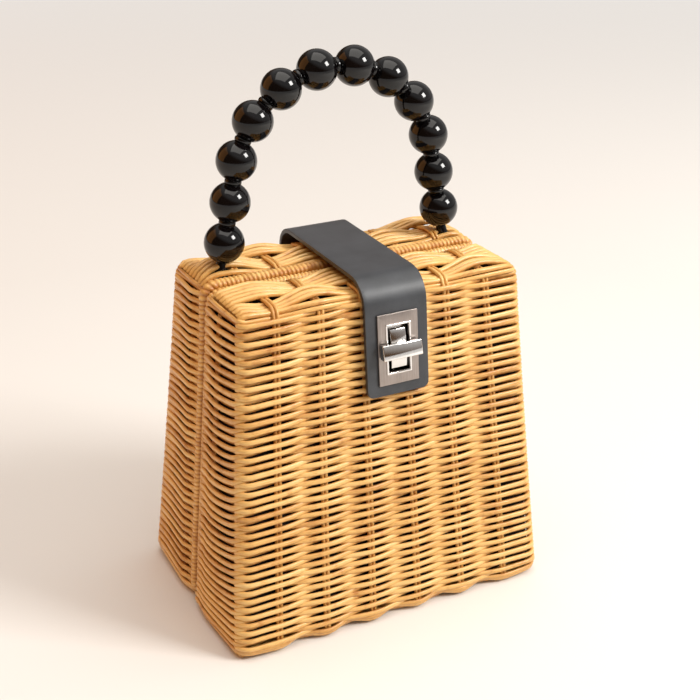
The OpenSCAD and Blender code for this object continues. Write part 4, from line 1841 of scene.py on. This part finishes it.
    def build(self, satin: Material, chrome: Material) -> None:
        """Makes the lock.

        Args:
            satin: The plate's finish.
            chrome: Finish of the boss and the bar.
        """
        dress(self.slotted_plate(), satin, "strap_end", ["slot_plate"])
        dress(self.slot_lip(), chrome, "strap_end")
        dress(self.lock_boss(), chrome, "front_half", ["lock_base"])
        dress(self.cross_bar(), chrome, "turn_bar", ["turn_bar"])


@dataclass(frozen=True)
class Lamp:
    """A soft square lamp that points at the bag's middle line."""

    name: str
    place: Triple
    aim_z: float
    size: float
    power: float
    colour: Colour

    def hang(self) -> None:
        """Puts the lamp in the scene."""
        light = bpy.data.lights.new(self.name, "AREA")
        light.size, light.energy, light.color = self.size, self.power, self.colour
        holder = link_new(self.name, light)
        holder.location = self.place
        ahead = Vector((0.0, 0.0, self.aim_z)) - Vector(self.place)
        holder.rotation_euler = ahead.to_track_quat("-Z", "Y").to_euler()


@dataclass
class Studio:
    """Camera, pale floor and soft lamps."""

    eye: Triple = (-0.28584, -0.54733, 0.41329)
    target: Triple = (0.00248, 0.0, 0.12777)
    roll: float = math.radians(0.393)
    focal: float = 1310.6
    frame: float = 700.0
    front_edge: float = 0.0615
    floor_colour: Colour = (0.80, 0.785, 0.755)
    far_glow: Colour = (0.42, 0.42, 0.42)
    lean: Triple = (0.5, -0.1, 1.0)
    room: Colour = (0.115, 0.07, 0.042)
    ceiling: Colour = (0.55, 0.54, 0.53)
    sky_stops: Triple = (0.02, 0.3, 0.62)
    glow_start: float = 0.5
    glow_rate: float = 0.5
    floor_half: float = 40.0
    sensor: float = 36.0
    lamps: tuple[Lamp, ...] = (
        Lamp("window", (0.9, -0.9, 1.1), 0.12, 0.5, 21.0, (1.0, 0.98, 0.95)),
        Lamp("overhead", (0.1, -0.1, 1.6), 0.1, 1.4, 13.5, (1.0, 0.955, 0.89)),
        Lamp("warm_side", (-1.6, 1.0, 1.1), 0.1, 1.9, 11.5, (1.0, 0.42, 0.12)),
    )

    def camera(self) -> None:
        """Places the camera at the photograph's angle."""
        eye, target = Vector(self.eye), Vector(self.target)
        ahead = (target - eye).normalized()
        right = ahead.cross(Vector((0.0, 0.0, 1.0))).normalized()
        up = right.cross(ahead)
        c, s = math.cos(self.roll), math.sin(self.roll)
        right, up = right * c + up * s, up * c - right * s
        lens = bpy.data.cameras.new("camera")
        lens.sensor_width = self.sensor
        lens.lens = self.sensor * self.focal / self.frame
        lens.clip_start, lens.clip_end = 0.01, 50.0
        holder = link_new("camera", lens)
        turn = Matrix((right, up, -ahead)).transposed()
        holder.matrix_world = Matrix.Translation(eye) @ turn.to_4x4()
        bpy.context.scene.camera = holder

    def floor(self) -> None:
        """Lays the pale floor."""
        book = FinishBook.named("studio_floor")
        place = book.add("ShaderNodeTexCoord", out="Object")
        away = book.add("ShaderNodeVectorMath", {"operation": "LENGTH"}, {0: place}, "Value")
        rays = ("Is Camera Ray", "Is Glossy Ray", "Is Transmission Ray")
        camera, glossy, through = (book.add("ShaderNodeLightPath", out=name) for name in rays)
        far = (away - self.glow_start) * self.glow_rate * (camera + glossy + through)
        material = book.finish({
            "Base Color": (*self.floor_colour, 1.0),
            "Roughness": 0.9,
            "Emission Color": book.ramp(far, [(0.0, (0.0, 0.0, 0.0)), (1.0, self.far_glow)]),
            "Emission Strength": 1.0,
        })
        bm = bmesh.new()
        bmesh.ops.create_grid(bm, x_segments=1, y_segments=1, size=self.floor_half)
        plane = from_bmesh("studio_floor", bm)
        plane.data.materials.append(material)
        self.sink(plane)

    def sink(self, plane: Piece) -> None:
        """Lets the floor sink with the front half's base, for the bag is opened in the hand.

        Args:
            plane: The floor.
        """
        guide = link_new("floor_guide", None)
        guide.location = (0.0, -self.front_edge, 0.0)
        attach(guide, "front_half")
        hold = plane.constraints.new("COPY_LOCATION")
        hold.target = guide
        hold.use_x = hold.use_y = False

    def sky(self) -> None:
        """Fills the surroundings with soft light from above and a darker room round the horizon."""
        world = bpy.data.worlds.new("studio")
        bpy.context.scene.world = world
        book = FinishBook(world)
        way = book.add("ShaderNodeTexCoord", out="Generated")
        side = book.add("ShaderNodeVectorMath", {"operation": "DOT_PRODUCT"}, {0: way, 1: self.lean}, "Value")
        colour = book.ramp(side, list(zip(self.sky_stops, (self.room, self.room, self.ceiling))))
        glow = book.add("ShaderNodeBackground", None, {"Color": colour, "Strength": 1.0})
        book.add("ShaderNodeOutputWorld", None, {"Surface": glow})

    def build(self) -> None:
        """Sets the whole studio."""
        bpy.context.scene.view_settings.view_transform = "Standard"
        self.camera()
        self.floor()
        self.sky()
        for lamp in self.lamps:
            lamp.hang()


def dress_solids(nodes: dict[str, Piece], finishes: dict[str, Material]) -> None:
    """Gives the solids that stay their finish.

    Args:
        nodes: The solids by name.
        finishes: Finish by the start of a solid's name.
    """
    for name, solid in nodes.items():
        for start, material in finishes.items():
            if name.startswith(start) and not solid.hide_render:
                solid.data.materials.clear()
                solid.data.materials.append(material)
                LOG.info("%s: solid kept, finish %s", name, material.name)


def main() -> None:
    """Builds and dresses the bag."""
    logging.basicConfig(level=logging.INFO, format="%(name)s %(message)s")
    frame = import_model()
    shape = BagShape()
    Studio().build()

    rows = CaneFinish("cane_rows", Grain.LEVEL).material()
    ends = CaneFinish("cane_top_and_base", Grain.CROSSWISE).material()
    stakes = CaneFinish("cane_stakes", Grain.UPRIGHT, shift=-0.06).material()
    wound = CaneFinish("cane_winding", Grain.WOUND, shift=0.03).material()
    bead = BeadFinish().material()
    face = LeatherFinish("strap_leather").material()
    edge = LeatherFinish("strap_edge", dark=(0.008, 0.008, 0.009), light=(0.016, 0.016, 0.018),
                         roughness=0.3, grain_height=0.03).material()
    cotton = ClothFinish("lining_cotton").material()
    thread = ClothFinish("lining_thread", dark=(0.02, 0.02, 0.022), light=(0.045, 0.045, 0.048),
                         threads=4000.0).material()
    satin = MetalFinish("lock_satin", colour=(0.43, 0.375, 0.345), shade=(0.28, 0.24, 0.22),
                        roughness=0.25, streak=0.13).material()
    chrome = MetalFinish("lock_chrome", colour=(0.80, 0.78, 0.76), shade=(0.70, 0.68, 0.66),
                         roughness=0.05, streak=0.03).material()
    steel = MetalFinish("fixing_steel", colour=(0.6, 0.6, 0.59), shade=(0.46, 0.46, 0.46),
                        roughness=0.25, streak=0.12).material()

    for part in Part:
        HalfBasket(shape, part).build(rows, ends, stakes)
        Lining(shape, part).build(cotton, thread)
    Rim(shape, Part.BACK).build(wound)
    Rim(shape, Part.FRONT, radius=1.9 * MM, top_radius=2.35 * MM, aside=-0.75 * MM, lift=-0.2 * MM,
        wrap=2.0 * MM).build(wound)
    HingeTies(shape).build(stakes)
    Handle(shape).build(bead)
    Strap(shape).build(face, edge)
    TurnLock(shape).build(satin, chrome)
    dress_solids(frame["nodes"], {
        "back_hoop": stakes, "front_hoop": stakes, "handle_core": steel, "handle_washer": steel,
        "handle_nut": steel, "strap_rivets": chrome, "rivet_washers": steel,
        "lock_inner_plate": steel, "prong_washers": steel,
    })


if __name__ == "__main__":
    main()
